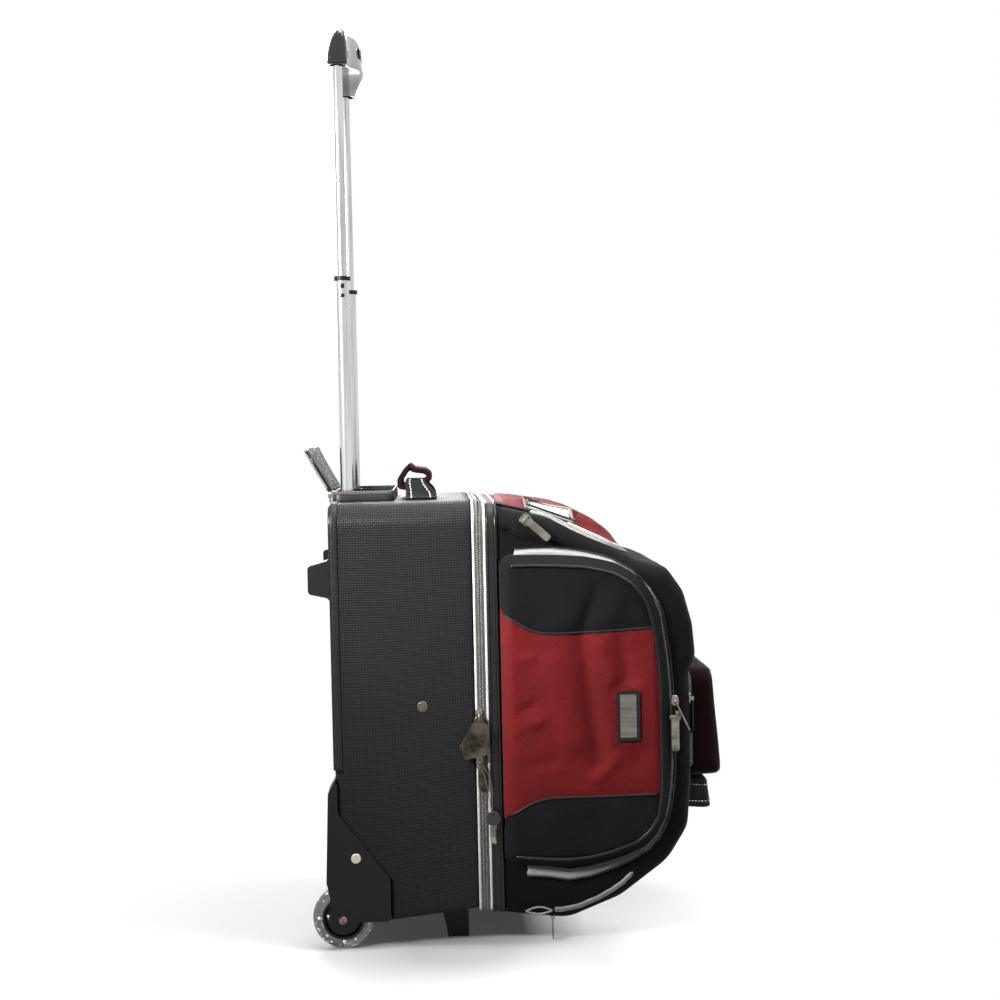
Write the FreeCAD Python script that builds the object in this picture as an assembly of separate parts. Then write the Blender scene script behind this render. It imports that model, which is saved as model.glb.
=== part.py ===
import FreeCAD, Part
import math
import os

# A two-ball bowling bag on wheels. Millimetres, +Z up, +X from the wheels to the bag's front,
# -Y the bag's right-hand side. The origin is on the floor under the middle of the whole bag.

# ---- Driving dimensions ----
body_width = 360.0
body_top = 520.0
shell_rear = -207.0
shell_depth = 164.0
shell_base = 33.0
rim_base = 44.0
slope_start = 62.0
wall = 3.0
shoulder_radius = 28.0
cavity_floor = 48.0
body_gap = 0.4

# Wheels, axles and the moulded guards round them
wheel_radius = 36.0
wheel_width = 24.0
axle_behind = 5.5
hub_radius = 25.0
hub_web = 8.0
hub_boss_radius = 14.0
bearing_radius = 11.0
bearing_bore = 4.0
bearing_width = 7.0
axle_radius = 3.95
axle_head_radius = 5.0
wheel_side_gap = 4.0
wheel_arch_gap = 3.0
ear_thickness = 4.0
ear_radius = 17.0
guard_behind = 13.0
guard_height = 200.0
guard_inner_y = 140.0
well_length = 61.0
well_top = 83.0
spacer_radius = 6.0
running_gap = 0.3

# Ball cups behind the lid, one above the other
ball_radius = 109.0
ball_gap = 1.0
cup_wall = 4.0
cup_frame = 4.0
divider = 3.0

# Rivets and screws
guard_rivet_radius = 6.0
side_rivet_radius = 6.5
guard_rivet_from_axle = 16.5
guard_rivet_above_well = 25.0
side_rivet_from_rear = 103.0
rivet_shank_radius = 2.5
rivet_head_height = 2.5
screw_radius = 2.0
screw_head_radius = 4.0
screw_head_height = 2.5
screw_length = 12.0
hole_gap = 0.1

# Feet under the front of the shell, bumpers behind it
foot_inner_y = 107.0
foot_width = 30.0
foot_behind_rim = 12.0
foot_length = 25.0
foot_flare = 8.0
bumper_inner_y = 132.0
bumper_width = 40.0
bumper_below_top = 89.0
bumper_screw_seat = 6.0
foot_screw_seat = 26.0
bumper_height = 32.0
bumper_depth = 27.0
bumper_flare = 11.0

# Telescopic handle: fixed outer tubes, a lower stage and an upper stage
tube_spacing = 200.0
tube_in = 18.0
outer_tube_radius = 9.5
lower_tube_radius = 7.8
upper_tube_radius = 5.8
tube_wall = 1.0
lower_tube_wall = 1.1
tube_bottom = 60.0
tube_above = 6.0
lower_extension = 263.0
lower_tube_length = 332.0
upper_tube_length = 337.0
tube_overlap = 70.0
slide_gap = 0.2
bush_depth = 26.0
bush_flange = 2.0
collar_height = 5.0
collar_depth = 20.0
collar_flange = 2.0
plug_length = 20.0
plug_gap = 0.1
window_size = 5.5
window_first = 11.6
window_second = 23.4
rod_radius = 2.0
rod_length = 300.0

# Grip on the upper stage
grip_width = 232.0
grip_depth = 24.0
grip_height = 38.0
grip_reach = 15.0
grip_socket = 3.0
insert_width = 70.0
insert_height = 14.0
insert_thickness = 2.0
button_length = 34.0
button_width = 12.0
button_rise = 3.5
button_travel = 3.0
button_bore_depth = 16.0
link_thickness = 4.0
link_width = 5.0
spring_radius = 4.0
spring_bore = 2.8
spring_seat = 5.0

# Handle garage on the top of the shell and its cover, folded back
garage_in = 2.5
garage_length = 72.0
garage_width = 252.0
garage_height = 9.0
garage_radius = 6.0
garage_tape = 3.0
cover_reach = 62.0
cover_width = 208.0
cover_thickness = 6.0
cover_roll = 2.0
garage_wall_thickness = 2.5
cover_fold = 122.0

# Carry handle on the top
webbing_width = 38.0
webbing_thickness = 3.0
top_handle_x = -101.0
top_handle_end_y = 118.0
top_handle_foot_y = 92.0
top_handle_bend_y = 66.0
top_handle_rise = 21.0
top_grip_length = 116.0
top_grip_depth = 42.0
top_grip_height = 33.0

# Main zipper and lid
tape_width = 7.8
lid_base = 40.0
lid_drop = 6.0
base_bend_from_rear = 90.0
base_bend_rise = -9.0
lid_front = 208.0
lid_heel_in = 85.0
lid_heel_rise = 19.0
lid_toe_in = 29.0
lid_toe_rise = 61.0
lid_shin_in = 6.0
lid_shin_rise = 98.0
lid_face_rise = 150.0
lid_face_drop = 184.0
lid_brow_in = 2.0
lid_brow_drop = 119.0
lid_temple_in = 25.0
lid_temple_drop = 79.0
lid_corner_in = 62.0
lid_corner_drop = 67.0
lid_slope_in = 102.0
lid_slope_drop = 44.0
lid_crown_in = 162.0
lid_crown_drop = 15.0
lid_brim_in = 13.0
lid_brim_drop = 1.0
hinge_out = 2.0
hinge_radius = 1.5
hinge_end_gap = 40.0

# Pockets on the lid
side_pocket_length = 195.0
side_pocket_below_top = 57.0
side_pocket_above_base = 47.0
side_pocket_depth = 19.0
side_pocket_taper = 12.5
side_pocket_wall = 2.5
side_pocket_behind = 14.0
front_pocket_width = 300.0
front_pocket_above_handle = 8.0
front_pocket_height = 128.0
front_pocket_depth = 28.5
top_pocket_crest_width = 210.0
top_pocket_width = 300.0
top_pocket_wall = 2.5
top_pocket_edge = 4.0
top_pocket_behind = 13.0
crest_rear_in = 24.0
crest_rear_rise = 6.0
crest_bend_in = 42.0
crest_bend_rise = 5.0
crest_slope_in = 110.0
crest_slope_drop = 7.5
crest_nose_in = 146.0
crest_nose_drop = 27.0
crest_lip_in = 161.0
crest_lip_drop = 53.0
window_frame_thickness = 1.5
window_border = 5.0
window_from_rear = 48.0
window_length = 58.0
window_depth = 33.0
window_from_edge = 5.0
window_seat_gap = 0.2
badge_width = 27.0
badge_height = 58.0
badge_thickness = 2.0
badge_rim = 4.0
badge_below_top = 189.0
badge_from_front = 35.5

# Webbing handle low on the lid's front
front_handle_width = 150.0
front_handle_standoff = 25.0
front_handle_foot = 10.0
front_handle_bend = 28.0
front_handle_inner_bend = 30.0
front_handle_base = 150.0
front_handle_top = 186.0

# Zipper sliders and pulls
pull_width = 9.0
pull_thickness = 1.6
pull_sleeve_radius = 2.4
pull_pin_radius = 1.2
pull_pin_gap = 0.15
slider_height = 4.5
slider_length = 13.0
slider_plate = 1.6
slider_cheek = 1.6
pull_length = 40.0
side_pull_rise = -5.0
slider_from_rim = 0.9
base_pull_length = 26.5
base_pull_from_rear = 70.0
base_pull_from_side = 14.0
top_pull_from_rear = 47.0
top_pull_above = 8.0
top_pull_sunk = 1.0
top_pull_lean = 43.0
top_pull_length = 36.0
front_pull_from_pocket = 14.0
front_pull_below_top = 40.0

# Padlock, key and their rings on the main zipper
lock_z = 270.0
lock_standoff = 8.0
ring_wire = 1.1
ring_gap = 0.6
shackle_wire = 1.6
shackle_radius = 4.2
shackle_drop = 8.0
lock_eave_out = 23.0
lock_eave_drop = 33.0
lock_heel_out = 17.0
lock_heel_drop = 49.5
lock_toe_in = 8.0
lock_toe_drop = 44.5
lock_side_in = 11.5
lock_side_drop = 34.0
lock_brow_drop = 12.0
lock_top_half = 7.0
lock_top_drop = 6.5
lock_body_thickness = 8.0
key_below = 54.0
key_wire = 0.9
key_loop_radius = 5.0
key_loop_drop = 34.0
key_head_radius = 9.5
key_head_hole = 3.0
key_thickness = 2.2

# ---- Places worked out from the sizes ----
lid_top = body_top - lid_drop
side_pocket_top = lid_top - side_pocket_below_top
side_pocket_base = lid_base + side_pocket_above_base
front_pocket_base = front_handle_top + front_pocket_above_handle
front_pocket_top = front_pocket_base + front_pocket_height
bumper_mid_z = body_top - bumper_below_top
lower_tube_top = body_top + lower_extension
badge_mid_z = side_pocket_top - badge_below_top
half_width = body_width / 2
rim_x = shell_rear + shell_depth
axle_x = shell_rear + axle_behind
tube_x = shell_rear + tube_in
tube_y = tube_spacing / 2
liner_rear = tube_x + outer_tube_radius + body_gap
liner_front = liner_rear + wall
guard_outer = half_width + ear_thickness
wheel_outer_y = half_width - wheel_side_gap
wheel_inner_y = wheel_outer_y - wheel_width
ear_inner_y = wheel_inner_y - wheel_side_gap
well_inner_y = ear_inner_y - ear_thickness
well_front = shell_rear + well_length
tape_front_x = rim_x + 2 * tape_width + body_gap
lid_rear = tape_front_x
split_x = rim_x + tape_width + body_gap / 2
bush_top = body_top + tube_above + wall
collar_top = lower_tube_top + collar_height
lower_bottom = lower_tube_top - lower_tube_length
upper_bottom = lower_tube_top - tube_overlap
upper_top = upper_bottom + upper_tube_length
grip_base = upper_top - grip_socket
grip_top = grip_base + grip_height + grip_socket
garage_rear = shell_rear + garage_in
garage_front = garage_rear + garage_length
garage_top = body_top + garage_height
pocket_hinge_x = lid_rear + side_pocket_behind
pocket_outer_y = half_width + body_gap + side_pocket_depth
cup_height = (body_top - wall - body_gap - cavity_floor - divider) / 2
divider_z = cavity_floor + cup_height
margin = 1.0


def vec(x, y, z):
    return FreeCAD.Vector(x, y, z)


axis_x = vec(1, 0, 0)
axis_y = vec(0, 1, 0)
axis_z = vec(0, 0, 1)


# ---- Shape helpers ----

# A closed outline from (u, v, radius) corners, each rounded by its radius as far as its
# two sides leave room; place turns (u, v) into a point in space.
def outline(corners, place):
    bends = []
    count = len(corners)
    for index, (u, v, radius) in enumerate(corners):
        here = vec(u, v, 0)
        back = vec(*corners[index - 1][:2], 0) - here
        ahead = vec(*corners[(index + 1) % count][:2], 0) - here
        half = back.getAngle(ahead) / 2
        reach = min(radius / math.tan(half), 0.49 * back.Length, 0.49 * ahead.Length)
        back.normalize()
        ahead.normalize()
        start = here + back * reach
        end = here + ahead * reach
        middle = start
        if reach > 0:
            inward = (back + ahead).normalize()
            middle = here + inward * (reach / math.cos(half) - reach * math.tan(half))
        bends.append([place(point.x, point.y) for point in (start, middle, end)])
    edges = []
    for index, (start, middle, end) in enumerate(bends):
        if (end - start).Length > 1e-6:
            edges.append(Part.Arc(start, middle, end).toShape())
        following = bends[(index + 1) % count][0]
        edges.append(Part.makeLine(end, following))
    return Part.Wire(edges)


# The same corners moved inwards by an amount, whichever way round they run.
def inset(corners, amount):
    count = len(corners)
    area = sum(corners[i - 1][0] * corners[i][1] - corners[i][0] * corners[i - 1][1]
               for i in range(count))
    side = 1 if area > 0 else -1
    moved = []
    for index, (u, v, radius) in enumerate(corners):
        arrive = (vec(u, v, 0) - vec(*corners[index - 1][:2], 0)).normalize()
        leave = (vec(*corners[(index + 1) % count][:2], 0) - vec(u, v, 0)).normalize()
        first = vec(-arrive.y, arrive.x, 0) * side
        second = vec(-leave.y, leave.x, 0) * side
        shift = (first + second) * (amount / (1 + first.dot(second)))
        convex = (arrive.x * leave.y - arrive.y * leave.x) * side > 0
        rounded = max(radius - amount, 0) if convex else radius + amount
        moved.append((u + shift.x, v + shift.y, rounded if radius else 0))
    return moved


def prism_x(corners, x0, x1):
    face = Part.Face(outline(corners, lambda u, v: vec(x0, u, v)))
    return face.extrude(vec(x1 - x0, 0, 0))


def prism_y(corners, y0, y1):
    face = Part.Face(outline(corners, lambda u, v: vec(u, y0, v)))
    return face.extrude(vec(0, y1 - y0, 0))


def prism_z(corners, z0, z1):
    face = Part.Face(outline(corners, lambda u, v: vec(u, v, z0)))
    return face.extrude(vec(0, 0, z1 - z0))


# A ruled solid between two side outlines with the same number of corners.
def taper_y(first, y0, second, y1):
    wires = [outline(first, lambda u, v: vec(u, y0, v)),
             outline(second, lambda u, v: vec(u, y1, v))]
    return Part.makeLoft(wires, True, True)


def block(x0, x1, y0, y1, z0, z1):
    return Part.makeBox(x1 - x0, y1 - y0, z1 - z0, vec(x0, y0, z0))


def rod(radius, start, direction, length):
    return Part.makeCylinder(radius, length, start, direction)


# A fastener's head standing out of a face at start, with its outer rim rounded.
def domed_head(radius, start, direction):
    outer = start - direction * rivet_head_height
    head = rod(radius, outer, direction, rivet_head_height)
    rims = [edge for edge in head.Edges if edge.CenterOfMass.distanceToPoint(outer) < 0.1]
    return head.makeFillet(rivet_head_height * 0.6, rims)


def tube(radius, bore, start, direction, length):
    return rod(radius, start, direction, length).cut(rod(bore, start, direction, length))


def mirrored(shape):
    return shape.mirror(vec(0, 0, 0), axis_y)


def pair(shape):
    return Part.makeCompound([shape, mirrored(shape)])


def together(*shapes):
    return Part.makeCompound([solid for shape in shapes for solid in shape.Solids])


def joined(first, *others):
    return first.multiFuse(list(others)).removeSplitter()


# A cross-section of the bag: flat sides and base, rounded top shoulders.
def section(half, base, top, radius, base_radius):
    return [(-half, base, base_radius), (half, base, base_radius),
            (half, top, radius), (-half, top, radius)]


# ---- Rear shell and what fills it ----

shell_side = [(shell_rear, shell_base, 4), (shell_rear + slope_start, shell_base, 8),
              (rim_x, rim_base, 5), (rim_x, body_top, 0), (shell_rear, body_top, 0)]


# The corner that a wheel takes out of the shell, grown by an amount on every side.
def wheel_well(grow):
    return block(shell_rear - margin, well_front + grow, -half_width - margin,
                 -well_inner_y + grow, -margin, well_top + grow)


def both_wells(shape, grow):
    well = wheel_well(grow)
    return shape.cut(well).cut(mirrored(well))


def shell_outside():
    body = prism_x(section(half_width, 0, body_top, shoulder_radius, 0), shell_rear, rim_x)
    return both_wells(body.common(prism_y(shell_side, -half_width, half_width)), 0)


bumper_screw_zs = (bumper_mid_z - bumper_height / 4, bumper_mid_z + bumper_height / 4)
bumper_mid_y = -bumper_inner_y - bumper_width / 2
foot_mid_x = rim_x - foot_behind_rim - foot_length / 2
foot_mid_y = -foot_inner_y - foot_width / 2
guard_rivet_spot = (axle_x + guard_rivet_from_axle, well_top + guard_rivet_above_well)
side_rivet_spot = (shell_rear + side_rivet_from_rear, divider_z + divider / 2)


def rear_shell():
    inside = prism_x(section(half_width - wall, cavity_floor, body_top - wall,
                             shoulder_radius - wall, 0),
                     shell_rear + wall, rim_x + margin)
    shell = shell_outside().cut(both_wells(inside, wall))
    for y in (-tube_y, tube_y):
        hole = outer_tube_radius + hole_gap
        shell = shell.cut(rod(hole, vec(tube_x, y, body_top - 2 * wall), axis_z, 3 * wall))
    for z in bumper_screw_zs:
        hole = rod(screw_radius + hole_gap, vec(shell_rear - margin, bumper_mid_y, z),
                   axis_x, wall + 2 * margin)
        shell = shell.cut(hole).cut(mirrored(hole))
    hole = rod(screw_radius + hole_gap, vec(foot_mid_x, foot_mid_y, shell_base), axis_z,
               cavity_floor - shell_base + margin)
    shell = shell.cut(hole).cut(mirrored(hole))
    for x, z in (guard_rivet_spot, side_rivet_spot):
        hole = rod(rivet_shank_radius + hole_gap, vec(x, -half_width - margin, z), axis_y,
                   wall + 2 * margin)
        shell = shell.cut(hole).cut(mirrored(hole))
    return shell


def back_liner():
    board = prism_x(section(half_width - wall - body_gap, cavity_floor,
                            body_top - wall - body_gap, shoulder_radius - wall, 0),
                    liner_rear, liner_front)
    return both_wells(board, wall + body_gap)


# Two formed cups, one above the other, each a bowl behind a flat front frame.
cup_front = rim_x - margin
cup_bore = ball_radius + ball_gap
cup_x = liner_front + body_gap + cup_wall + cup_bore
cup_lower_z = cavity_floor + cup_height / 2
cup_upper_z = cup_lower_z + cup_height + divider


def ball_cup(mid_z, top_radius):
    half = half_width - wall - body_gap
    frame = prism_x(section(half, mid_z - cup_height / 2, mid_z + cup_height / 2,
                            top_radius, 0),
                    cup_front - cup_frame, cup_front)
    centre = vec(cup_x, 0, mid_z)
    bowl = Part.makeSphere(cup_bore + cup_wall, centre)
    ahead = block(cup_x, cup_front + cup_bore + cup_wall, -cup_bore * 2, cup_bore * 2,
                  mid_z - cup_bore * 2, mid_z + cup_bore * 2)
    neck = rod(cup_bore + cup_wall, centre, axis_x, cup_front - cup_x)
    cup = joined(bowl.cut(ahead), neck, frame)
    hollow = Part.makeSphere(cup_bore, centre)
    mouth = rod(cup_bore, centre, axis_x, cup_front - cup_x + margin)
    return cup.cut(hollow).cut(mouth)


def cup_divider():
    half = half_width - wall - body_gap
    return block(liner_front + body_gap, cup_front, -half, half, divider_z,
                 divider_z + divider)


# ---- Wheel guards, wheels and axles ----

def arch_cylinder(radius, y0, y1):
    return rod(radius, vec(axle_x, y0, wheel_radius), axis_y, y1 - y0)


def wheel_guard():
    back = shell_rear - guard_behind
    plate_side = [(shell_rear + 2, guard_height, 2), (shell_rear - 9, guard_height - 16, 8),
                  (back, 80, 8), (back + 4, 62, 8), (back + 4, shell_base, 0),
                  (well_front, shell_base, 4), (well_front, well_top, 6),
                  (shell_rear + 2, 160, 10)]
    rear_side = [(shell_rear, guard_height, 0), (shell_rear - 9, guard_height - 16, 8),
                 (back, 80, 8), (back + 4, 62, 8), (back + 4, 50, 4), (shell_rear, 50, 0)]
    core_side = [(shell_rear, 50, 0), (shell_rear, well_top, 0), (well_front, well_top, 0),
                 (well_front, shell_base, 4), (shell_rear, shell_base, 0)]
    plate = prism_y(plate_side, -guard_outer, -half_width)
    ear = arch_cylinder(ear_radius, -guard_outer, -half_width)
    rear = prism_y(rear_side, -guard_outer, -guard_inner_y)
    core = prism_y(core_side, -half_width, -well_inner_y)
    inner_ear = arch_cylinder(ear_radius, -ear_inner_y, -well_inner_y)
    guard = joined(core, plate, ear, rear, inner_ear)
    arch = arch_cylinder(wheel_radius + wheel_arch_gap, -half_width, -ear_inner_y)
    guard = guard.cut(arch)
    guard = guard.cut(arch_cylinder(axle_radius + hole_gap, -guard_outer - margin,
                                    -well_inner_y + margin))
    x, z = guard_rivet_spot
    return guard.cut(rod(rivet_shank_radius + hole_gap, vec(x, -guard_outer - margin, z),
                         axis_y, ear_thickness + 2 * margin))


def axle():
    shaft = arch_cylinder(axle_radius, -guard_outer, -well_inner_y)
    head = domed_head(axle_head_radius, vec(axle_x, -guard_outer, wheel_radius), axis_y)
    return joined(shaft, head)


def axle_spacers():
    gap = wheel_side_gap - running_gap
    outer = arch_cylinder(spacer_radius, -half_width, -half_width + gap)
    inner = arch_cylinder(spacer_radius, -ear_inner_y - gap, -ear_inner_y)
    bore = arch_cylinder(axle_radius + hole_gap, -guard_outer, 0)
    return Part.makeCompound([outer.cut(bore), inner.cut(bore)])


# Revolved about the axle from (radius, distance from the wheel's outer face) corners.
def turned(corners):
    wire = outline(corners, lambda r, y: vec(axle_x + r, y - wheel_outer_y, wheel_radius))
    return Part.Face(wire).revolve(vec(axle_x, 0, wheel_radius), axis_y, 360)


def wheel_hub():
    web_near = (wheel_width - hub_web) / 2
    web_far = web_near + hub_web
    rim_inner = hub_radius - 3
    seat = bearing_radius
    shoulder = bearing_radius - 3
    far_seat = wheel_width - bearing_width
    hub = turned([(seat, 0, 0), (hub_boss_radius, 0, 0.5), (hub_boss_radius, web_near, 2),
                  (rim_inner, web_near, 2), (rim_inner, 1, 0.5), (hub_radius, 1, 0),
                  (hub_radius, wheel_width - 1, 0), (rim_inner, wheel_width - 1, 0.5),
                  (rim_inner, web_far, 2), (hub_boss_radius, web_far, 2),
                  (hub_boss_radius, wheel_width, 0.5), (seat, wheel_width, 0),
                  (seat, far_seat, 0), (shoulder, far_seat, 0),
                  (shoulder, bearing_width, 0), (seat, bearing_width, 0)])
    hole_radius = (rim_inner - hub_boss_radius) / 3
    hole_ring = (rim_inner + hub_boss_radius) / 2
    for turn in range(6):
        angle = math.radians(60 * turn)
        spot = vec(axle_x + hole_ring * math.cos(angle), -wheel_outer_y,
                   wheel_radius + hole_ring * math.sin(angle))
        hub = hub.cut(rod(hole_radius, spot, axis_y, wheel_width))
    return hub


def tyre():
    return turned([(hub_radius, 0.5, 0), (wheel_radius - 5, 0, 3), (wheel_radius, 6, 8),
                   (wheel_radius, wheel_width - 6, 8), (wheel_radius - 5, wheel_width, 3),
                   (hub_radius, wheel_width - 0.5, 0)])


def bearings():
    rings = []
    for start in (0, wheel_width - bearing_width):
        rings.append(turned([(bearing_bore, start, 0), (bearing_radius, start, 0),
                             (bearing_radius, start + bearing_width, 0),
                             (bearing_bore, start + bearing_width, 0)]))
    return Part.makeCompound(rings)


def rivet(radius, start, direction, shank_length):
    head = domed_head(radius, start, direction)
    return joined(head, rod(rivet_shank_radius, start, direction, shank_length))


def guard_rivets():
    x, z = guard_rivet_spot
    return pair(rivet(guard_rivet_radius, vec(x, -guard_outer, z), axis_y,
                      ear_thickness + wall))


def side_rivets():
    x, z = side_rivet_spot
    return pair(rivet(side_rivet_radius, vec(x, -half_width, z), axis_y, wall))


# ---- Feet and bumpers ----

foot_front = rim_x - foot_behind_rim


def foot():
    side = [(foot_front - foot_length, 0, 2), (foot_front, 0, 2),
            (foot_front, cavity_floor, 0), (foot_front - foot_length - foot_flare,
                                            cavity_floor, 0),
            (foot_front - foot_length - foot_flare, rim_base - 6, 0),
            (foot_front - foot_length - 2, 14, 6)]
    solid = prism_y(side, -foot_inner_y - foot_width, -foot_inner_y)
    solid = solid.cut(shell_outside())
    solid = solid.cut(block(shell_rear, rim_x, -half_width, 0, rim_base, body_top))
    recess = rod(screw_head_radius + hole_gap, vec(foot_mid_x, foot_mid_y, 0), axis_z,
                 foot_screw_seat + screw_head_height)
    shank = rod(screw_radius + hole_gap, vec(foot_mid_x, foot_mid_y, 0), axis_z, body_top)
    return solid.cut(recess).cut(shank)


def bumper():
    low = bumper_mid_z - bumper_height / 2
    high = bumper_mid_z + bumper_height / 2
    side = [(shell_rear, low - bumper_flare, 0), (shell_rear - 5, low - 5, 4),
            (shell_rear - bumper_depth, low, 5), (shell_rear - bumper_depth, high, 5),
            (shell_rear - 5, high + 6, 4), (shell_rear, high + bumper_flare, 0)]
    solid = prism_y(side, -bumper_inner_y - bumper_width, -bumper_inner_y)
    for z in bumper_screw_zs:
        start = vec(shell_rear - bumper_depth - margin, bumper_mid_y, z)
        recess = rod(screw_head_radius + hole_gap, start, axis_x,
                     bumper_depth + margin - bumper_screw_seat)
        solid = solid.cut(recess).cut(rod(screw_radius + hole_gap, start, axis_x,
                                          bumper_depth + 2 * margin))
    return solid


def foot_and_bumper_screws():
    screws = []
    for z in bumper_screw_zs:
        seat = vec(shell_rear - bumper_screw_seat, bumper_mid_y, z)
        head = rod(screw_head_radius, seat - axis_x * screw_head_height, axis_x,
                   screw_head_height)
        screws.append(joined(head, rod(screw_radius, seat, axis_x,
                                       bumper_screw_seat + wall)))
    seat = vec(foot_mid_x, foot_mid_y, foot_screw_seat + screw_head_height)
    head = rod(screw_head_radius, seat - axis_z * screw_head_height, axis_z,
               screw_head_height)
    screws.append(joined(head, rod(screw_radius, seat, axis_z, screw_length)))
    return Part.makeCompound(screws + [mirrored(screw) for screw in screws])


# ---- Telescopic handle ----

def outer_tube():
    return tube(outer_tube_radius, outer_tube_radius - tube_wall,
                vec(tube_x, -tube_y, tube_bottom), axis_z,
                body_top + tube_above - tube_bottom)


def outer_tube_bush():
    top = body_top + tube_above
    spot = vec(tube_x, -tube_y, 0)
    bore = lower_tube_radius + slide_gap
    flange = tube(outer_tube_radius + bush_flange, bore, spot + axis_z * top, axis_z, wall)
    skirt = tube(outer_tube_radius + bush_flange, outer_tube_radius,
                 spot + axis_z * body_top, axis_z, tube_above)
    liner = tube(outer_tube_radius - tube_wall, bore, spot + axis_z * (top - bush_depth),
                 axis_z, bush_depth)
    return joined(flange, skirt, liner)


def tube_base():
    half = tube_y + outer_tube_radius + 4
    bar = prism_z([(tube_x - outer_tube_radius, -half, 6), (tube_x + outer_tube_radius,
                   -half, 6), (tube_x + outer_tube_radius, half, 6),
                   (tube_x - outer_tube_radius, half, 6)], cavity_floor, tube_bottom)
    bosses = [rod(outer_tube_radius - tube_wall, vec(tube_x, y, tube_bottom), axis_z,
                  plug_length / 2) for y in (-tube_y, tube_y)]
    return joined(bar, *bosses)


def lower_tube():
    solid = tube(lower_tube_radius, lower_tube_radius - lower_tube_wall,
                 vec(tube_x, -tube_y, lower_bottom), axis_z, lower_tube_length)
    for below in (window_first, window_second):
        z = collar_top - below
        half = window_size / 2
        solid = solid.cut(block(tube_x - half, tube_x + half,
                                -tube_y - lower_tube_radius - margin, -tube_y,
                                z - half, z + half))
    return solid


def lower_tube_collar():
    bore = upper_tube_radius + slide_gap
    spot = vec(tube_x, -tube_y, lower_tube_top)
    cap = tube(lower_tube_radius + collar_flange, bore, spot, axis_z, collar_height)
    liner = tube(lower_tube_radius - lower_tube_wall, bore,
                 spot - axis_z * collar_depth, axis_z, collar_depth)
    return joined(cap, liner)


def lower_tube_plug():
    radius = outer_tube_radius - tube_wall - plug_gap
    return tube(radius, lower_tube_radius, vec(tube_x, -tube_y, lower_bottom), axis_z,
                plug_length)


def upper_tube():
    return tube(upper_tube_radius, upper_tube_radius - tube_wall,
                vec(tube_x, -tube_y, upper_bottom), axis_z, upper_tube_length)


def upper_tube_plug():
    radius = lower_tube_radius - lower_tube_wall - plug_gap
    return tube(radius, upper_tube_radius, vec(tube_x, -tube_y, upper_bottom), axis_z,
                plug_length)


grip_rear = tube_x - grip_depth / 2
grip_middle_x = grip_rear + (grip_depth + grip_reach) / 2
link_top = grip_top - button_bore_depth
link_base = link_top - link_thickness
spring_base = grip_base + spring_seat


def button_stem(grow, z0, z1):
    half = button_length / 2 + grow
    side = button_width / 2 + grow
    mid = grip_middle_x
    return prism_z([(mid - side, -half, side), (mid + side, -half, side),
                    (mid + side, half, side), (mid - side, half, side)], z0, z1)


# The bar that ties both release rods to the button's foot, grown by its clearance.
def link_bars(grow, below):
    half = link_width / 2 + grow
    end = tube_y + link_width / 2 + grow
    low = link_base - below
    top = link_top + grow
    across = block(tube_x - half, tube_x + half, -end, end, low, top)
    side = button_width / 2 + grow
    foot_block = block(tube_x - half, grip_middle_x + side, -side, side, low, top)
    return joined(across, foot_block)


# Seen from above the grip is bowed forwards between its two ends.
def grip_body():
    half = grip_width / 2
    front = grip_rear + grip_depth
    plan = [(grip_rear, -half, 9), (front, -half, 9), (front + grip_reach, -half / 2, 60),
            (front + grip_reach, half / 2, 60), (front, half, 9), (grip_rear, half, 9),
            (grip_rear + 4, 0, 400)]
    solid = prism_z(plan, grip_base, grip_top)
    top_rim = [edge for edge in solid.Edges
               if abs(edge.BoundBox.ZMin - grip_top) < 0.01]
    solid = solid.makeFillet(8.0, top_rim)
    low_rim = [edge for edge in solid.Edges
               if abs(edge.BoundBox.ZMax - grip_base) < 0.01]
    solid = solid.makeFillet(3.0, low_rim)
    well = button_stem(running_gap, link_top - button_travel - running_gap,
                       grip_top + margin)
    solid = solid.cut(well)
    for y in (-tube_y, tube_y):
        bore = rod(upper_tube_radius, vec(tube_x, y, grip_base - margin), axis_z,
                   upper_top - grip_base + margin)
        channel = rod(rod_radius + running_gap, vec(tube_x, y, grip_base), axis_z,
                      grip_top - 14 - grip_base)
        solid = solid.cut(bore).cut(channel)
    solid = solid.cut(link_bars(running_gap, button_travel + running_gap))
    spring_hole = rod(spring_radius + running_gap, vec(grip_middle_x, 0, spring_base), axis_z,
                      link_base - spring_base)
    return solid.cut(spring_hole).cut(grip_insert())


def grip_insert():
    front = grip_rear + grip_depth + grip_reach
    mid = (grip_base + grip_top) / 2
    half = insert_height / 2
    side = insert_width / 2
    corners = [(-side, mid - half, 6), (side, mid - half, 6), (side, mid + half, 6),
               (-side, mid + half, 6)]
    return prism_x(corners, front - insert_thickness, front)


def release_button():
    cap = button_stem(0, link_top, grip_top + button_rise)
    rim = [edge for edge in cap.Edges
           if abs(edge.BoundBox.ZMin - grip_top - button_rise) < 0.01]
    return cap.makeFillet(1.5, rim)


def release_link():
    bars = link_bars(0, 0)
    rods = [rod(rod_radius, vec(tube_x, y, link_base - rod_length), axis_z, rod_length)
            for y in (-tube_y, tube_y)]
    return joined(bars, *rods)


def button_spring():
    return tube(spring_radius, spring_bore, vec(grip_middle_x, 0, spring_base), axis_z,
                link_base - spring_base)


# ---- Handle garage, its cover and the carry handle on top ----

def garage_ring(z0, z1, thickness):
    half = garage_width / 2
    plan = [(garage_rear, -half, garage_radius), (garage_front, -half, garage_radius),
            (garage_front, half, garage_radius), (garage_rear, half, garage_radius)]
    return prism_z(plan, z0, z1).cut(prism_z(inset(plan, thickness), z0, z1))


def garage_wall():
    return garage_ring(body_top, garage_top, garage_wall_thickness)


def garage_zipper():
    return garage_ring(garage_top, garage_top + garage_tape, garage_wall_thickness / 2)


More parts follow.
